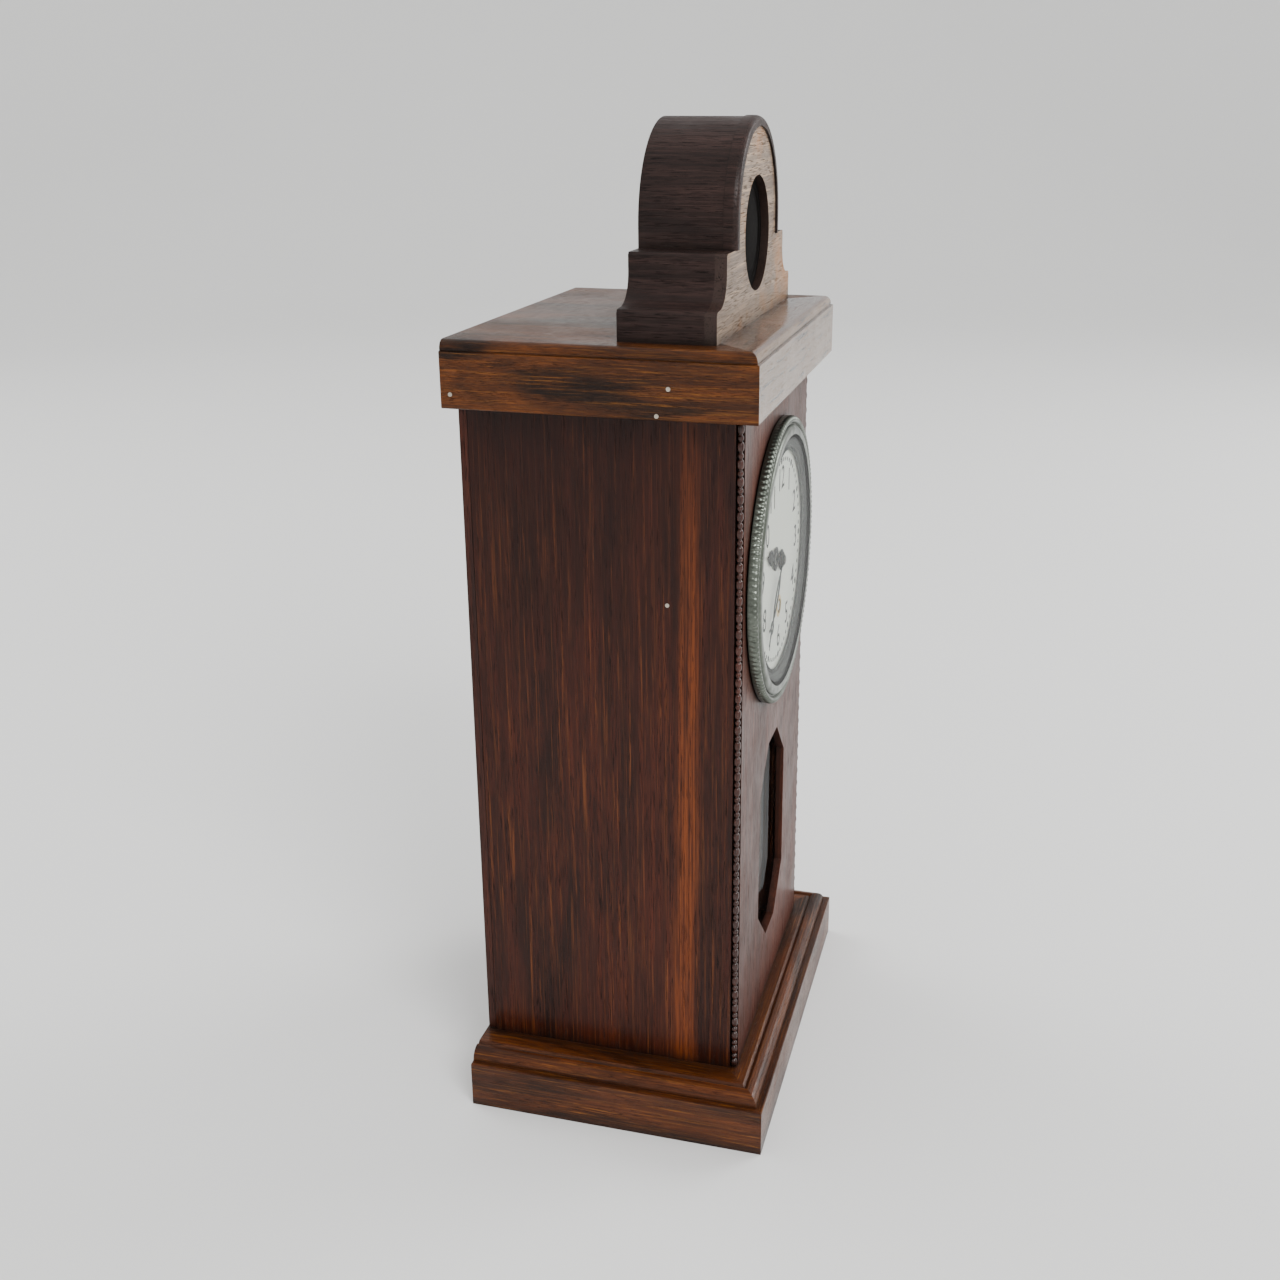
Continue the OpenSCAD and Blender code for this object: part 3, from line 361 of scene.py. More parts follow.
def piece(name, verts, faces, material, body, smooth=True, replaces=()):
    """A finished mesh, in metres, that rides on a body of the frame."""
    mesh = bpy.data.meshes.new(name)
    mesh.from_pydata([tuple(v) for v in verts], [], faces)
    mesh.validate()
    shaped = bmesh.new()
    shaped.from_mesh(mesh)
    bmesh.ops.recalc_face_normals(shaped, faces=shaped.faces)
    shaped.to_mesh(mesh)
    shaped.free()
    obj = bpy.data.objects.new(name, mesh)
    bpy.context.scene.collection.objects.link(obj)
    mesh.materials.append(material)
    if smooth:
        mesh.shade_smooth()
        mesh.set_sharp_from_angle(angle=math.radians(35))
    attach(obj, body)
    if replaces:
        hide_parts(*replaces)
    return obj


def lathe(profile, segments, place, closed=True):
    """Verts and faces of a turned shape. place(radius, height, angle, index) gives a point."""
    verts, faces = [], []
    count = len(profile)
    for i in range(segments):
        angle = 2 * math.pi * i / segments
        verts += [place(r, h, angle, j) for j, (r, h) in enumerate(profile)]
    last = count if closed else count - 1
    for i in range(segments):
        near, far = i * count, (i + 1) % segments * count
        for j in range(last):
            k = (j + 1) % count
            faces.append((near + j, near + k, far + k, far + j))
    return verts, faces


def about_dial(r, h, angle, index=0):
    """A point about the hands' axis, h millimetres in front of the panel."""
    return Vector((r * MM * math.cos(angle), FRONT_Y - h * MM, CENTRE.z + r * MM * math.sin(angle)))


def joined(parts):
    verts, faces = [], []
    for part_verts, part_faces in parts:
        start = len(verts)
        verts += part_verts
        faces += [tuple(i + start for i in f) for f in part_faces]
    return verts, faces


def box_mesh(low, high):
    x, y, z = zip(low, high)
    verts = [Vector((x[i], y[j], z[k])) for i in (0, 1) for j in (0, 1) for k in (0, 1)]
    faces = [(0, 1, 3, 2), (4, 6, 7, 5), (0, 4, 5, 1), (2, 3, 7, 6), (0, 2, 6, 4), (1, 5, 7, 3)]
    return verts, faces


def soften(obj, width, segments=2, angle=32):
    """Eases the edges of a piece."""
    bevel = obj.modifiers.new("Eased edges", "BEVEL")
    bevel.width = width * MM
    bevel.segments = segments
    bevel.limit_method = "ANGLE"
    bevel.angle_limit = math.radians(angle)
    bevel.harden_normals = False
    bevel.use_clamp_overlap = True


def paint(names, material, ease=0.0, smooth=False):
    """Gives CAD nodes their finish."""
    for name in names:
        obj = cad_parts[name]
        obj.data.materials.clear()
        obj.data.materials.append(material)
        if ease:
            soften(obj, ease)
        if smooth:
            obj.data.shade_smooth()
            obj.data.set_sharp_from_angle(angle=math.radians(30))


def outline_shape(name, outer, holes, thick, centre, turn, y_back, material, body, replaces):
    """A flat pierced shape, such as a clock hand, cut from sheet and eased at its edges."""
    curve = bpy.data.curves.new(name, "CURVE")
    curve.dimensions = "2D"
    curve.fill_mode = "BOTH"
    ease = 0.06 * MM
    curve.extrude = thick * MM / 2 - ease
    curve.bevel_depth = ease
    curve.offset = -ease
    for points in [outer, *holes]:
        spline = curve.splines.new("POLY")
        spline.points.add(len(points) - 1)
        for point, (x, y) in zip(spline.points, points):
            point.co = (x * MM, y * MM, 0, 1)
        spline.use_cyclic_u = True
    shape = bpy.data.objects.new(name + "_outline", curve)
    bpy.context.scene.collection.objects.link(shape)
    bpy.context.view_layer.update()
    mesh = bpy.data.meshes.new_from_object(shape.evaluated_get(bpy.context.evaluated_depsgraph_get()))
    bpy.data.objects.remove(shape)
    stand = Matrix.Translation((centre.x, y_back - thick * MM / 2, centre.z))
    stand = stand @ Matrix.Rotation(turn, 4, "Y") @ Matrix.Rotation(math.radians(90), 4, "X")
    mesh.transform(stand)
    verts = [v.co.copy() for v in mesh.vertices]
    faces = [tuple(p.vertices) for p in mesh.polygons]
    return piece(name, verts, faces, material, body, smooth=False, replaces=replaces)


def ellipse(cx, cy, rx, ry, count=28):
    return [(cx + rx * math.cos(2 * math.pi * i / count), cy + ry * math.sin(2 * math.pi * i / count))
            for i in range(count)]


def hand_outline(length, bulges, stem, hub, tip, steps=110):
    """Outline of a hand along +Y from its half widths. bulges are [centre, half width, half height]."""
    def width(y):
        across = [0.05]
        if abs(y) < hub:
            across.append(math.sqrt(hub * hub - y * y))
        for middle, half, tall in bulges:
            part = 1 - ((y - middle) / tall) ** 2
            if part > 0:
                across.append(half * math.sqrt(part))
        if 0 < y < length - tip:
            across.append(stem)
        if y >= length - tip:
            across.append(stem * (length - y) / tip)
        return max(across)
    heights = [-hub + (length + hub) * i / steps for i in range(steps + 1)]
    right = [(width(y), y) for y in heights]
    return right + [(-x, y) for x, y in reversed(right)]


def slotted_head(centre, normal, radius, height, turn=0.0):
    """A screw head of two halves beside its slot, on a thin disc."""
    up = Vector(normal).normalized()
    side = up.orthogonal().normalized()
    side = Matrix.Rotation(turn, 3, up) @ side
    across = up.cross(side)
    parts = []

    def stack(rings):
        count = len(rings[0])
        verts = [centre + side * x + across * y + up * h for ring in rings for x, y, h in ring]
        faces = [tuple(range(count)), tuple(range(len(verts) - count, len(verts)))]
        for level in range(len(rings) - 1):
            for i in range(count):
                j = (i + 1) % count
                a, b = level * count, (level + 1) * count
                faces.append((a + i, a + j, b + j, b + i))
        return verts, faces

    disc = [(radius * math.cos(2 * math.pi * i / 20), radius * math.sin(2 * math.pi * i / 20)) for i in range(20)]
    parts.append(stack([[(x, y, 0) for x, y in disc], [(x, y, height * 0.45) for x, y in disc]]))
    start = math.asin(0.16)
    for way in (1, -1):
        arc = [start + (math.pi - 2 * start) * i / 10 for i in range(11)]
        half = [(radius * math.cos(a), way * radius * math.sin(a)) for a in arc]
        rings = [[(x, y, height * 0.45) for x, y in half], [(x * 0.95, y * 0.97, height * 0.8) for x, y in half],
                 [(x * 0.8, (y - way * radius * 0.16) * 0.85 + way * radius * 0.16, height) for x, y in half]]
        parts.append(stack(rings))
    return joined(parts)


# ---------------------------------------------------------------- what a user would change

class ClockCaseLook(bpy.types.PropertyGroup):
    side_stain: FloatVectorProperty(
        name="Side stain", description="Middle colour of the side panels", subtype="COLOR",
        default=(0.056, 0.0105, 0.0038), min=0, max=1)
    front_stain: FloatVectorProperty(
        name="Front stain", description="Middle colour of the front panel", subtype="COLOR",
        default=(0.09, 0.026, 0.015), min=0, max=1)
    base_stain: FloatVectorProperty(
        name="Base stain", description="Middle colour of the base moulding", subtype="COLOR",
        default=(0.1, 0.026, 0.006), min=0, max=1)
    cap_stain: FloatVectorProperty(
        name="Cap stain", description="Middle colour of the cap", subtype="COLOR",
        default=(0.13, 0.036, 0.006), min=0, max=1)
    pediment_stain: FloatVectorProperty(
        name="Pediment stain", description="Middle colour of the pediment", subtype="COLOR",
        default=(0.035, 0.018, 0.015), min=0, max=1)
    edge_ease: FloatProperty(
        name="Eased edges", description="Radius worn on the case's edges", unit="LENGTH",
        default=0.0006, min=0, max=0.002)
    pearls: IntProperty(
        name="Pearls", description="Number of pearls on each corner strip", default=42, min=20, max=60)


class ClockDialLook(bpy.types.PropertyGroup):
    enamel: FloatVectorProperty(
        name="Enamel", description="Colour of the dial", subtype="COLOR", default=(0.62, 0.61, 0.56), min=0, max=1)
    numeral_height: FloatProperty(
        name="Numeral height", description="Height of the hour numerals", unit="LENGTH",
        default=0.009, min=0.004, max=0.01)
    milling: IntProperty(
        name="Milled teeth", description="Number of teeth milled round the bezel", default=150, min=60, max=240)


class ClockStageLook(bpy.types.PropertyGroup):
    floor: FloatVectorProperty(
        name="Floor", description="Colour of the floor", subtype="COLOR", default=(0.86, 0.86, 0.85), min=0, max=1)
    lens: FloatProperty(
        name="Lens", description="Focal length of the camera on a 36 mm sensor", default=40.35, min=20, max=120)
    light: FloatProperty(
        name="Light", description="Strength of the soft lights", subtype="FACTOR", default=1.0, min=0, max=3)


def tones(middle, dark, light):
    """Dark, middle and light of one stain, as shares of its middle colour."""
    return tuple(c * dark for c in middle), tuple(middle), tuple(min(c * k, 1) for c, k in zip(middle, light))


MATERIALS = {}


# ---------------------------------------------------------------- operators

class CLOCK_OT_sides(bpy.types.Operator):
    """Stain and polish the side panels"""
    bl_idname = "clock.sides"
    bl_label = "Side panels"

    def execute(self, context):
        look = context.scene.clock_case
        for name, seed in (("side_left", 3.0), ("side_right", 47.0)):
            side_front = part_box(name)[0].y / MM + seed * 1.7

            def honey_band(tree, place, colour, pores, seed=seed, front=side_front):
                """A lighter strip of sapwood beside the front edge."""
                split = add(tree, "SeparateXYZ")
                tree.links.new(place, split.inputs[0])
                wander = noise(tree, place, (0.02, 0.02, 0.006), 3, 0.5)
                along = math_node(tree, "MULTIPLY_ADD", wander, 14.0)
                tree.links.new(split.outputs["Y"], along.node.inputs[2])
                rise = ramp(tree, along, front + 17.0, front + 22.0)
                fall = ramp(tree, along, front + 29.5, front + 24.5)
                lines = ramp(tree, noise(tree, place, (1.1, 1.1, 0.02), 4, 0.7), 0.3, 0.66)
                mask = math_node(tree, "MULTIPLY", math_node(tree, "MULTIPLY", rise, fall), lines)
                kept = math_node(tree, "MULTIPLY_ADD", pores, -0.6)
                kept.node.inputs[2].default_value = 0.85
                colour = mix_colour(tree, math_node(tree, "MULTIPLY", mask, kept), colour, (0.2, 0.045, 0.008, 1))
                smoke = ramp(tree, split.outputs["Z"], 120 + seed * 0.6, 300 + seed * 0.6)
                return mix_colour(tree, math_node(tree, "MULTIPLY", smoke, 0.6), colour, (0.012, 0.002, 0.001, 1))

            side = oak(
                "Oak " + name.replace("_", " "), "Z", tones(look.side_stain, 0.28, (2.8, 4.2, 2.4)),
                streaks=0.7, shade_and_grime=0.9, gloss=0.3, coat=0.12, seed=seed, band=honey_band)
            paint([name], side, look.edge_ease / MM)
        return {"FINISHED"}


class CLOCK_OT_front(bpy.types.Operator):
    """Stain and polish the front panel"""
    bl_idname = "clock.front"
    bl_label = "Front panel"

    def execute(self, context):
        look = context.scene.clock_case
        panel = oak(
            "Oak front panel", "Z", tones(look.front_stain, 0.5, (2.0, 2.0, 1.8)),
            streaks=0.3, shade_and_grime=0.9, gloss=0.4, coat=0.15, seed=21.0, pore=0.04)
        paint(["front_panel"], panel, 0.3)
        return {"FINISHED"}


class CLOCK_OT_base(bpy.types.Operator):
    """Stain and polish the base rails and the bottom board"""
    bl_idname = "clock.base"
    bl_label = "Base"

    def execute(self, context):
        look = context.scene.clock_case
        colours = tones(look.base_stain, 0.15, (2.4, 3.2, 2.0))
        for names, grain, seed in ((("base_front",), "X", 5.0), (("base_left", "base_right"), "Y", 13.0)):
            material = oak("Oak " + names[0].replace("_", " "), grain, colours, streaks=0.7, shade_and_grime=0.8,
                           gloss=0.28, coat=0.2, seed=seed, closeness=1.6)
            paint(names, material, look.edge_ease / MM)
        board = oak("Oak bottom board", "X", tones(look.base_stain, 0.4, (1.5, 1.5, 1.5)), streaks=0.3,
                    shade_and_grime=0.9, gloss=0.5, coat=0.1, seed=71.0)
        MATERIALS["board"] = board
        paint(["bottom_board"], board, 0.3)
        return {"FINISHED"}


class CLOCK_OT_cap(bpy.types.Operator):
    """Stain and polish the cap rails, the top board and the back rail"""
    bl_idname = "clock.cap"
    bl_label = "Cap"

    def execute(self, context):
        look = context.scene.clock_case
        colours = tones(look.cap_stain, 0.07, (2.0, 2.6, 2.0))
        for names, grain, seed, coat in ((("cap_front",), "X", 31.0, 1.0), (("back_rail",), "X", 37.0, 0.15),
                                         (("cap_left", "cap_right"), "Y", 9.0, 0.2), (("top_board",), "Y", 9.0, 0.2)):
            # The cap front gets a painted sheen on its front-facing face.
            material = oak("Oak " + names[0].replace("_", " "), grain, colours, streaks=0.6, shade_and_grime=0.8,
                           gloss=0.3, coat=coat, seed=seed, pore=0.15, closeness=1.9,
                           band=bleached_front if names[0] == "cap_front" else None)
            paint(names, material, 0.0 if names[0] == "top_board" else look.edge_ease / MM)
        return {"FINISHED"}


class CLOCK_OT_pediment(bpy.types.Operator):
    """Stain the pediment, its face, the bead round the arch and the black roundel"""
    bl_idname = "clock.pediment"
    bl_label = "Pediment"

    def execute(self, context):
        look = context.scene.clock_case
        block = oak("Oak pediment block", "Y", tones(look.pediment_stain, 0.35, (1.8, 1.7, 1.7)),
                    streaks=0.35, shade_and_grime=0.7, gloss=0.42, coat=0.1, seed=17.0, pore=0.12)
        face = oak("Oak pediment face", "X", ((0.16, 0.105, 0.07), (0.3, 0.215, 0.15), (0.5, 0.34, 0.21)),
                   streaks=0.7, shade_and_grime=0.8, gloss=0.45, coat=0.3, seed=27.0, pore=0.15, band=dark_sides)
        paint(["pediment_block"], block, 0.5)
        paint(["arch_bead"], block, 0.15, smooth=True)
        paint(["pediment_face"], face, 0.3)
        black = lacquer("Black polished roundel", (0.003, 0.0025, 0.0025), (0.012, 0.01, 0.008), 0.75, 0.04)
        paint(["roundel"], black, 0.0, smooth=True)
        return {"FINISHED"}


class CLOCK_OT_pearls(bpy.types.Operator):
    """Turn the two strips of pearls in the front corners"""
    bl_idname = "clock.pearls"
    bl_label = "Pearl strips"

    def execute(self, context):
        look = context.scene.clock_case
        low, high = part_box("pearl_strips")
        radius = (high.y - low.y) / 2
        pitch = (high.z - low.z) / look.pearls
        neck = radius * 0.5
        section = [(0.0, neck)]
        for start, length, proud in ((0.05, 0.52, 1.0), (0.66, 0.27, 0.86)):
            for step in range(9):
                angle = math.pi * (step + 0.5) / 9
                swell = (radius * proud - neck) * math.sin(angle) ** 0.7
                section.append((start + length * (1 - math.cos(angle)) / 2, neck + swell))
            section.append((start + length + 0.03, neck))
        profile = [(0.0, low.z)]
        for i in range(look.pearls):
            profile += [(r, low.z + (i + at) * pitch) for at, r in section]
        profile += [(neck, high.z), (0.0, high.z)]
        parts = []
        for x in (low.x + radius, high.x - radius):
            def stand(r, z, angle, index, x=x):
                return Vector((x + r * math.cos(angle), low.y + radius + r * math.sin(angle), z))
            parts.append(lathe(profile, 18, stand, closed=False))
        verts, faces = joined(parts)
        material = oak("Oak pearls", "Z", tones(look.side_stain, 0.3, (1.8, 1.8, 1.6)),
                       streaks=0.3, shade_and_grime=1.0, gloss=0.3, coat=0.6, seed=61.0)
        strip = piece("pearl_mouldings", verts, faces, material, "case", replaces=["pearl_strips"])
        merge_doubles(strip)
        return {"FINISHED"}


def merge_doubles(obj, distance=1e-6):
    shaped = bmesh.new()
    shaped.from_mesh(obj.data)
    bmesh.ops.remove_doubles(shaped, verts=shaped.verts, dist=distance)
    shaped.to_mesh(obj.data)
    shaped.free()


class CLOCK_OT_inner_wood(bpy.types.Operator):
    """Finish the glue blocks, dowels, window stops and the back door"""
    bl_idname = "clock.inner_wood"
    bl_label = "Door and inner wood"

    def execute(self, context):
        look = context.scene.clock_case
        pine = oak("Bare softwood", "Y", ((0.3, 0.17, 0.08), (0.42, 0.26, 0.13), (0.52, 0.35, 0.19)),
                   streaks=0.6, shade_and_grime=0.5, gloss=0.6, coat=0.0, seed=51.0)
        paint(["glue_blocks", "pediment_dowels"], pine, 0.3)
        door = oak("Oak back door", "Z", tones(look.side_stain, 0.45, (2.0, 2.2, 2.0)),
                   streaks=0.4, shade_and_grime=0.9, gloss=0.45, coat=0.2, seed=83.0)
        paint(["back_door"], door, look.edge_ease / MM)
        paint(["window_stops"], MATERIALS["board"], 0.15)
        return {"FINISHED"}


class CLOCK_OT_bezel(bpy.types.Operator):
    """Turn the bezel and its inner cove, with milled teeth round both edges"""
    bl_idname = "clock.bezel"
    bl_label = "Bezel"

    def execute(self, context):
        teeth = context.scene.clock_dial.milling
        pewter = metal("Dulled pewter", (0.15, 0.165, 0.14), (0.012, 0.014, 0.011), 0.8, 0.26, 0.015)
        MATERIALS["pewter"] = pewter
        inner, outer = BEZEL_INNER, BEZEL_OUTER
        lip = [(outer - 1.3 + 1.3 * math.cos(math.radians(a)), 2.4 + 1.9 * math.sin(math.radians(a)))
               for a in range(0, 151, 15)]
        profile = [(inner, 0.3), (outer - 0.4, 0.3), (outer - 0.1, 0.6), (outer - 0.1, 1.9)] + lip
        milled = range(4, 4 + len(lip))
        profile += [(52.0, 3.0), (51.6, 3.05), (51.2, 4.0), (50.7, 4.45), (50.0, 4.6), (49.0, 4.58),
                    (inner - 0.6, 4.55), (inner - 0.6, 4.5), (inner, 4.5)]

        def rim(r, h, angle, index):
            if index in milled:
                bite = 0.5 - 0.5 * math.cos(angle * teeth)
                r -= 0.42 * bite
                h -= 0.2 * bite
            return about_dial(r, h, angle)

        parts = [lathe(profile, teeth * 6, rim)]
        pin_x, pin_y = BEZEL_PIN_X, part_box("hinge_pins")[0].y + BEZEL_PIN_RADIUS
        half = 2.0

        def knuckle(r, h, angle, index):
            return Vector((pin_x + r * MM * math.cos(angle), pin_y + r * MM * math.sin(angle), CENTRE.z + h * MM))

        parts.append(lathe([(0.56, -half), (0.95, -half), (1.0, -half + 0.05), (1.0, half - 0.05),
                            (0.95, half), (0.56, half)], 32, knuckle))
        parts.append(box_mesh(Vector((BEZEL_ARM_X, pin_y - 0.6 * MM, CENTRE.z - half * MM)),
                              Vector((pin_x - 0.7 * MM, pin_y + 0.6 * MM, CENTRE.z + half * MM))))
        verts, faces = joined(parts)
        piece("bezel_ring", verts, faces, pewter, "bezel_body", replaces=["bezel"])

        back = (FRONT_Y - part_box("sight_ring")[1].y) / MM
        front = (FRONT_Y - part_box("sight_ring")[0].y) / MM
        open_r = DIAL_OPENING
        wide = inner - 2.0 - open_r
        cove = [(open_r + 1.6 + (wide - 1.6) * math.sin(math.radians(a)),
                 back + 0.5 + (front - back - 0.5) * (1 - math.cos(math.radians(a)))) for a in range(0, 91, 10)]
        bead = [(open_r + 0.7 + 0.7 * math.cos(math.radians(a)), back + 0.45 + 0.75 * math.sin(math.radians(a)))
                for a in range(180, 29, -15)]
        profile = [(open_r, back)] + bead + cove + [(inner - 0.02, front), (inner - 0.02, back)]
        beads = 120

        def cove_rim(r, h, angle, index):
            if 1 < index <= len(bead):
                h -= 0.4 * (0.5 - 0.5 * math.cos(angle * beads))
            return about_dial(r, max(h, back), angle)

        verts, faces = lathe(profile, beads * 6, cove_rim)
        dark = metal("Dark pewter cove", (0.085, 0.095, 0.08), (0.012, 0.013, 0.011), 0.6, 0.32, 0.015)
        piece("sight_cove", verts, faces, dark, "bezel_body", replaces=["sight_ring"])
        return {"FINISHED"}


class CLOCK_OT_dial(bpy.types.Operator):
    """Enamel the dial and print its dots and numerals"""
    bl_idname = "clock.dial"
    bl_label = "Dial"

    def execute(self, context):
        look = context.scene.clock_dial
        enamel = lacquer("White dial enamel", tuple(look.enamel), (0.5, 0.46, 0.38), 0.25)
        paint(["dial_plate"], enamel)
        ink = lacquer("Black dial print", (0.006, 0.006, 0.006), (0.02, 0.02, 0.02), 0.6, 0.1)
        thin = 0.04 * MM
        parts = []
        for minute in range(60):
            angle = math.radians(90 - 6 * minute)
            hour = minute % 5 == 0
            radius, sides = (1.3, 20) if hour else (0.85, 14)
            where = Vector((38.6 * MM * math.cos(angle), DIAL_Y, CENTRE.z + 38.6 * MM * math.sin(angle)))
            ring = [where + Vector((radius * MM * math.cos(2 * math.pi * i / sides), 0,
                                    radius * MM * math.sin(2 * math.pi * i / sides))) for i in range(sides)]
            verts = ring + [v - Vector((0, thin, 0)) for v in ring]
            faces = [tuple(range(sides)), tuple(range(2 * sides - 1, sides - 1, -1))]
            faces += [(i, (i + 1) % sides, sides + (i + 1) % sides, sides + i) for i in range(sides)]
            parts.append((verts, faces))
        verts, faces = joined(parts)
        piece("minute_dots", verts, faces, ink, "case", smooth=False)
        parts = []
        for hour in range(1, 13):
            angle = math.radians(90 - 30 * hour)
            parts.append(numeral(str(hour), look.numeral_height, thin,
                                 31.5 * MM * math.cos(angle), CENTRE.z + 31.5 * MM * math.sin(angle)))
        verts, faces = joined(parts)
        piece("hour_numerals", verts, faces, ink, "case", smooth=False)
        return {"FINISHED"}


def numeral(text, size, thin, x, z):
    """Verts and faces of one upright numeral on the dial."""
    curve = bpy.data.curves.new("numeral", "FONT")
    curve.body = text
    curve.size = size * 1.4
    curve.align_x, curve.align_y = "CENTER", "CENTER"
    curve.extrude = thin / 2
    curve.resolution_u = 4
    shape = bpy.data.objects.new("numeral", curve)
    bpy.context.scene.collection.objects.link(shape)
    bpy.context.view_layer.update()
    mesh = bpy.data.meshes.new_from_object(shape.evaluated_get(bpy.context.evaluated_depsgraph_get()))
    bpy.data.objects.remove(shape)
    mesh.transform(Matrix.Translation((x, DIAL_Y - thin / 2, z)) @ Matrix.Rotation(math.radians(90), 4, "X"))
    return [v.co.copy() for v in mesh.vertices], [tuple(p.vertices) for p in mesh.polygons]


class CLOCK_OT_hands(bpy.types.Operator):
    """Cut the two pierced hands and finish the nut that holds them"""
    bl_idname = "clock.hands"
    bl_label = "Hands"

    def execute(self, context):
        black = lacquer("Black hand lacquer", (0.004, 0.004, 0.004), (0.015, 0.013, 0.01), 0.5, 0.1)
        hour_turn = math.radians(30 * HOUR_AT)
        minute_turn = math.radians(6 * MINUTE_AT)
        hour = hand_outline(29, [(11.5, 4.6, 4.2), (20.5, 3.0, 3.6)], 0.8, 4.0, 5.5)
        outline_shape("hour_hand_pierced", hour, [ellipse(0, 0, 2.25, 2.25), ellipse(0, 11.5, 2.4, 2.1)],
                      0.3, CENTRE, hour_turn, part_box("hour_hand")[1].y, black,
                      "hour_body", ["hour_hand"])
        minute = hand_outline(36, [(15.5, 2.5, 9.0), (28.2, 2.6, 2.6)], 0.6, 3.0, 5.0)
        outline_shape("minute_hand_pierced", minute, [ellipse(0, 0, 0.95, 0.95), ellipse(0, 15.5, 1.2, 7.0),
                      ellipse(0, 28.2, 1.2, 1.2)], 0.3, CENTRE, minute_turn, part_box("minute_hand")[1].y, black,
                      "centre_body", ["minute_hand"])
        paint(["hand_nut"], MATERIALS["pewter"], 0.08, smooth=True)
        return {"FINISHED"}


class CLOCK_OT_glass(bpy.types.Operator):
    """Fit the dial glass and the window glass"""
    bl_idname = "clock.glass"
    bl_label = "Glass"

    def execute(self, context):
        clear = glass("Old clear glass", (0.93, 0.96, 0.94), 0.02)
        paint(["dial_glass", "window_glass"], clear)
        return {"FINISHED"}


class CLOCK_OT_movement(bpy.types.Operator):
    """Finish the plates, wheels, arbors and pendulum"""
    bl_idname = "clock.movement"
    bl_label = "Movement"

    def execute(self, context):
        brass = metal("Aged clock brass", (0.62, 0.42, 0.14), (0.2, 0.12, 0.04), 0.45, 0.28)
        steel = metal("Drawn steel", (0.46, 0.46, 0.46), (0.12, 0.09, 0.07), 0.4, 0.3)
        blued = metal("Spring steel", (0.18, 0.2, 0.26), (0.06, 0.05, 0.05), 0.4, 0.32)
        MATERIALS["brass"], MATERIALS["steel"] = brass, steel
        paint(["front_plate", "back_plate", "barrel_cover", "suspension_cock", "click_spring"], brass, 0.12)
        paint(["pillars", "bob"], brass, 0.0, smooth=True)
        paint(["centre_wheel", "third_wheel", "escape_wheel", "hour_wheel", "minute_wheel", "cannon_pinion",
               "barrel", "rating_nut", "winding_eyelet", "pendulum_rod"], brass, 0.0, smooth=True)
        paint(["screws", "winding_arbor", "ratchet_wheel", "click", "plate_studs", "centre_arbor", "anchor"],
              steel, 0.0, smooth=True)
        paint(["mainspring"], blued, 0.0, smooth=True)
        return {"FINISHED"}


class CLOCK_OT_hardware(bpy.types.Operator):
    """Finish the nails, hinges and turn button, and set the hinge screws"""
    bl_idname = "clock.hardware"
    bl_label = "Hardware"

    def execute(self, context):
        brass, steel = MATERIALS["brass"], MATERIALS["steel"]
        nail = metal("Old nail heads", (0.55, 0.5, 0.42), (0.15, 0.1, 0.07), 0.6, 0.4)
        paint(["case_nails"], nail)
        paint(["door_leaves", "hinge_leaves", "turn_button"], brass, 0.12)
        paint(["hinge_pins"], steel, 0.0, smooth=True)
        low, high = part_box("door_leaves")
        middle = [low.z + 9 * MM, high.z - 9 * MM]
        heads = [slotted_head(Vector((low.x + 4 * MM, high.y - 1.6 * MM, z + dz * MM)), (0, 1, 0),
                              1.3 * MM, 0.4 * MM, 0.4 + dz) for z in middle for dz in (-6, 0, 6)]
        verts, faces = joined(heads)
        piece("door_hinge_screws", verts, faces, steel, "door_body", smooth=False)
        return {"FINISHED"}


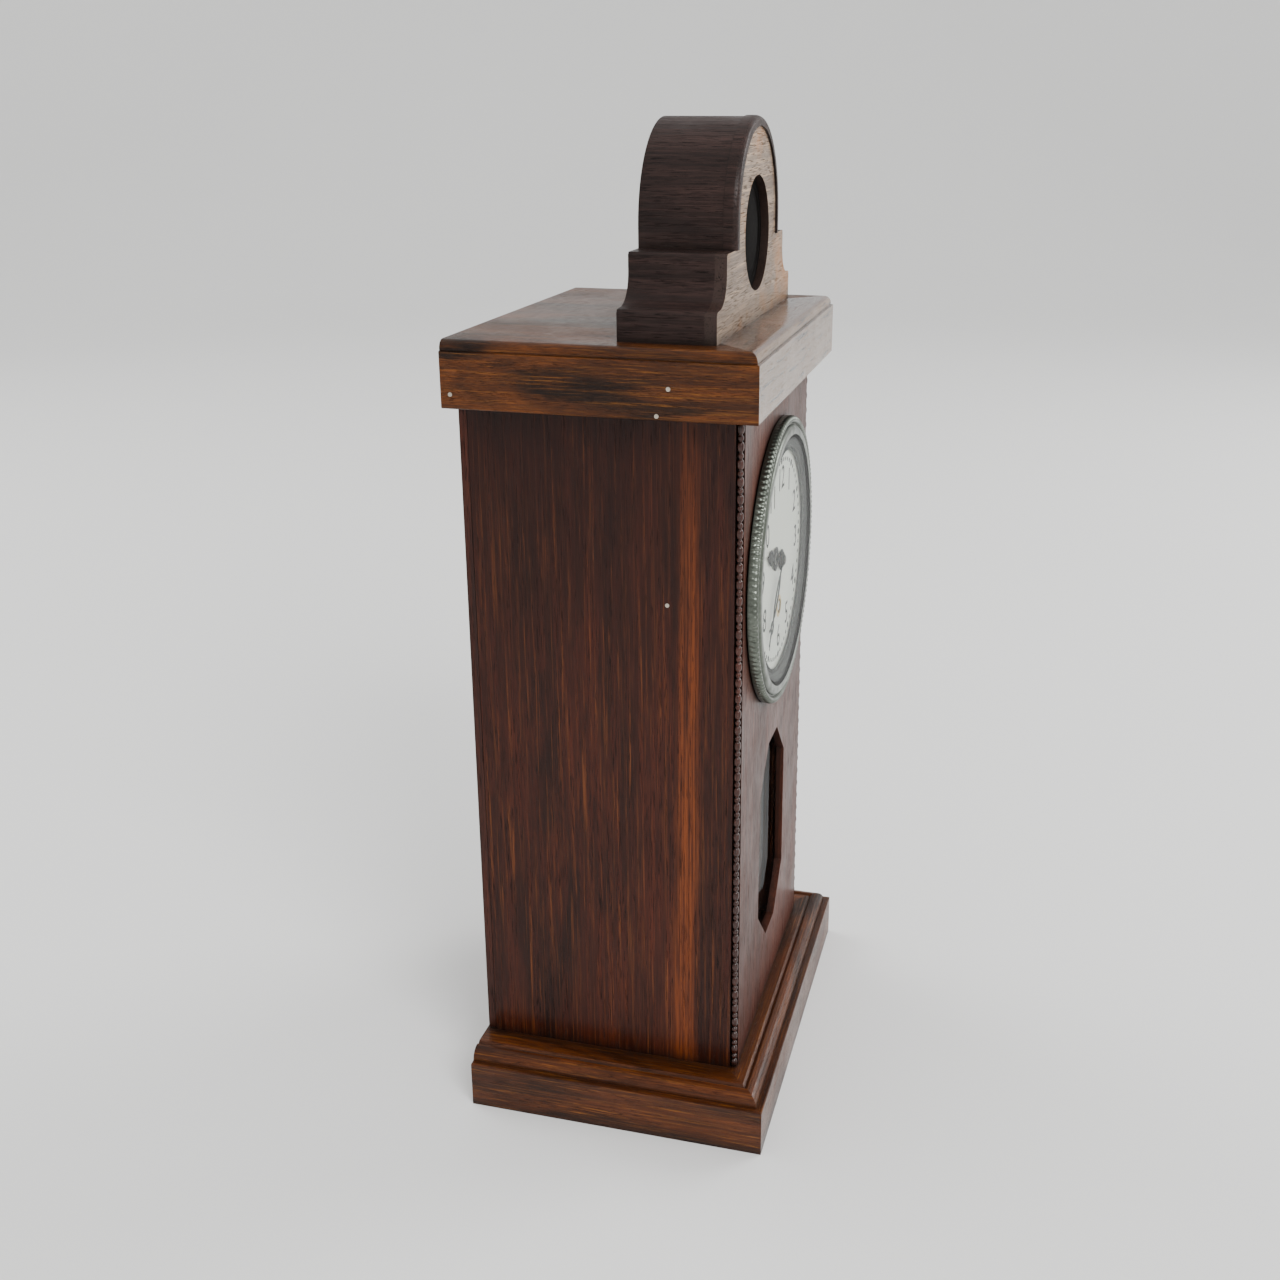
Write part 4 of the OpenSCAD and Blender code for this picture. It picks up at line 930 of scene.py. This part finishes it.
class CLOCK_OT_stage(bpy.types.Operator):
    """Lay the floor and set the lights and the camera"""
    bl_idname = "clock.stage"
    bl_label = "Stage"

    def execute(self, context):
        look = context.scene.clock_stage
        floor_paint, tree, shader, place = start_material("Pale floor")
        cloud = noise(tree, place, (0.004, 0.004, 0.004), 3, 0.5)
        pale = tuple(look.floor)
        tint = mix_colour(tree, cloud, (*pale, 1), (*[c * 0.98 for c in pale], 1))
        tree.links.new(tint, shader.inputs["Base Color"])
        shader.inputs["Roughness"].default_value = 0.7
        profile = [(0.0, 0.0), (1.2, 0.0), (2.0, 0.0)]
        profile += [(2.0 + 1.2 * math.sin(math.radians(a)), 1.2 * (1 - math.cos(math.radians(a))))
                    for a in range(8, 89, 8)]
        profile.append((3.2, 1.6))
        verts, faces = lathe(profile, 96, lambda r, h, a, i: Vector((r * math.cos(a), r * math.sin(a), h)),
                             closed=False)
        mesh = bpy.data.meshes.new("studio_floor")
        mesh.from_pydata([tuple(v) for v in verts], [], faces)
        mesh.shade_smooth()
        mesh.materials.append(floor_paint)
        floor = bpy.data.objects.new("studio_floor", mesh)
        context.scene.collection.objects.link(floor)
        merge_doubles(floor)

        world = bpy.data.worlds.new("Soft daylight")
        world.use_nodes = True
        world.node_tree.nodes["Background"].inputs["Color"].default_value = (1, 1, 1, 1)
        world.node_tree.nodes["Background"].inputs["Strength"].default_value = 0.9 * look.light
        context.scene.world = world
        target = Vector((0, 0, 0.17))
        for name, where, size, power in (
                ("Key light", (-1.1, -1.0, 1.3), 0.9, 26.0),
                ("Front light", (1.1, -1.3, 0.9), 1.0, 20.0),
                ("Back light", (0.4, 1.5, 1.3), 1.2, 14.0)):
            lamp = bpy.data.lights.new(name, "AREA")
            lamp.shape = "DISK"
            lamp.size = size
            lamp.energy = power * look.light
            holder = bpy.data.objects.new(name, lamp)
            holder.location = where
            holder.rotation_mode = "QUATERNION"
            holder.rotation_quaternion = (target - Vector(where)).to_track_quat("-Z", "Y")
            context.scene.collection.objects.link(holder)

        camera = bpy.data.cameras.new("Clock camera")
        camera.sensor_width = 36.0
        camera.lens = look.lens
        camera.shift_x, camera.shift_y = -0.0391, -0.0625
        camera.clip_start, camera.clip_end = 0.01, 20.0
        holder = bpy.data.objects.new("Clock camera", camera)
        azimuth, elevation = math.radians(-75.5), math.radians(17.93)
        back = Vector((math.sin(azimuth) * math.cos(elevation), -math.cos(azimuth) * math.cos(elevation),
                       math.sin(elevation)))
        right = (-back).cross(Vector((0, 0, 1))).normalized()
        up = back.cross(right)
        holder.matrix_world = Matrix.Translation((-0.5135, -0.1442, 0.3773)) @ Matrix(
            (right, up, back)).transposed().to_4x4()
        context.scene.collection.objects.link(holder)
        context.scene.camera = holder
        return {"FINISHED"}


OPERATORS = (CLOCK_OT_sides, CLOCK_OT_front, CLOCK_OT_base, CLOCK_OT_cap, CLOCK_OT_pediment, CLOCK_OT_pearls,
             CLOCK_OT_inner_wood, CLOCK_OT_bezel, CLOCK_OT_dial, CLOCK_OT_hands, CLOCK_OT_glass,
             CLOCK_OT_movement, CLOCK_OT_hardware, CLOCK_OT_stage)


class CLOCK_PT_panel(bpy.types.Panel):
    """Sizes, colours and steps of the clock"""
    bl_label = "Mantel clock"
    bl_idname = "CLOCK_PT_panel"
    bl_space_type = "VIEW_3D"
    bl_region_type = "UI"
    bl_category = "Clock"

    def draw(self, context):
        scene = context.scene
        for look in (scene.clock_case, scene.clock_dial, scene.clock_stage):
            box = self.layout.box()
            for key in look.__annotations__:
                box.prop(look, key)
        for operator in OPERATORS:
            self.layout.operator(operator.bl_idname)


CLASSES = (ClockCaseLook, ClockDialLook, ClockStageLook, *OPERATORS, CLOCK_PT_panel)


def register():
    for cls in CLASSES:
        bpy.utils.register_class(cls)
    bpy.types.Scene.clock_case = PointerProperty(type=ClockCaseLook)
    bpy.types.Scene.clock_dial = PointerProperty(type=ClockDialLook)
    bpy.types.Scene.clock_stage = PointerProperty(type=ClockStageLook)


def unregister():
    del bpy.types.Scene.clock_stage
    del bpy.types.Scene.clock_dial
    del bpy.types.Scene.clock_case
    for cls in reversed(CLASSES):
        bpy.utils.unregister_class(cls)


def main():
    register()
    for operator in OPERATORS:
        family, name = operator.bl_idname.split(".")
        getattr(getattr(bpy.ops, family), name)()


if __name__ == "__main__":
    main()
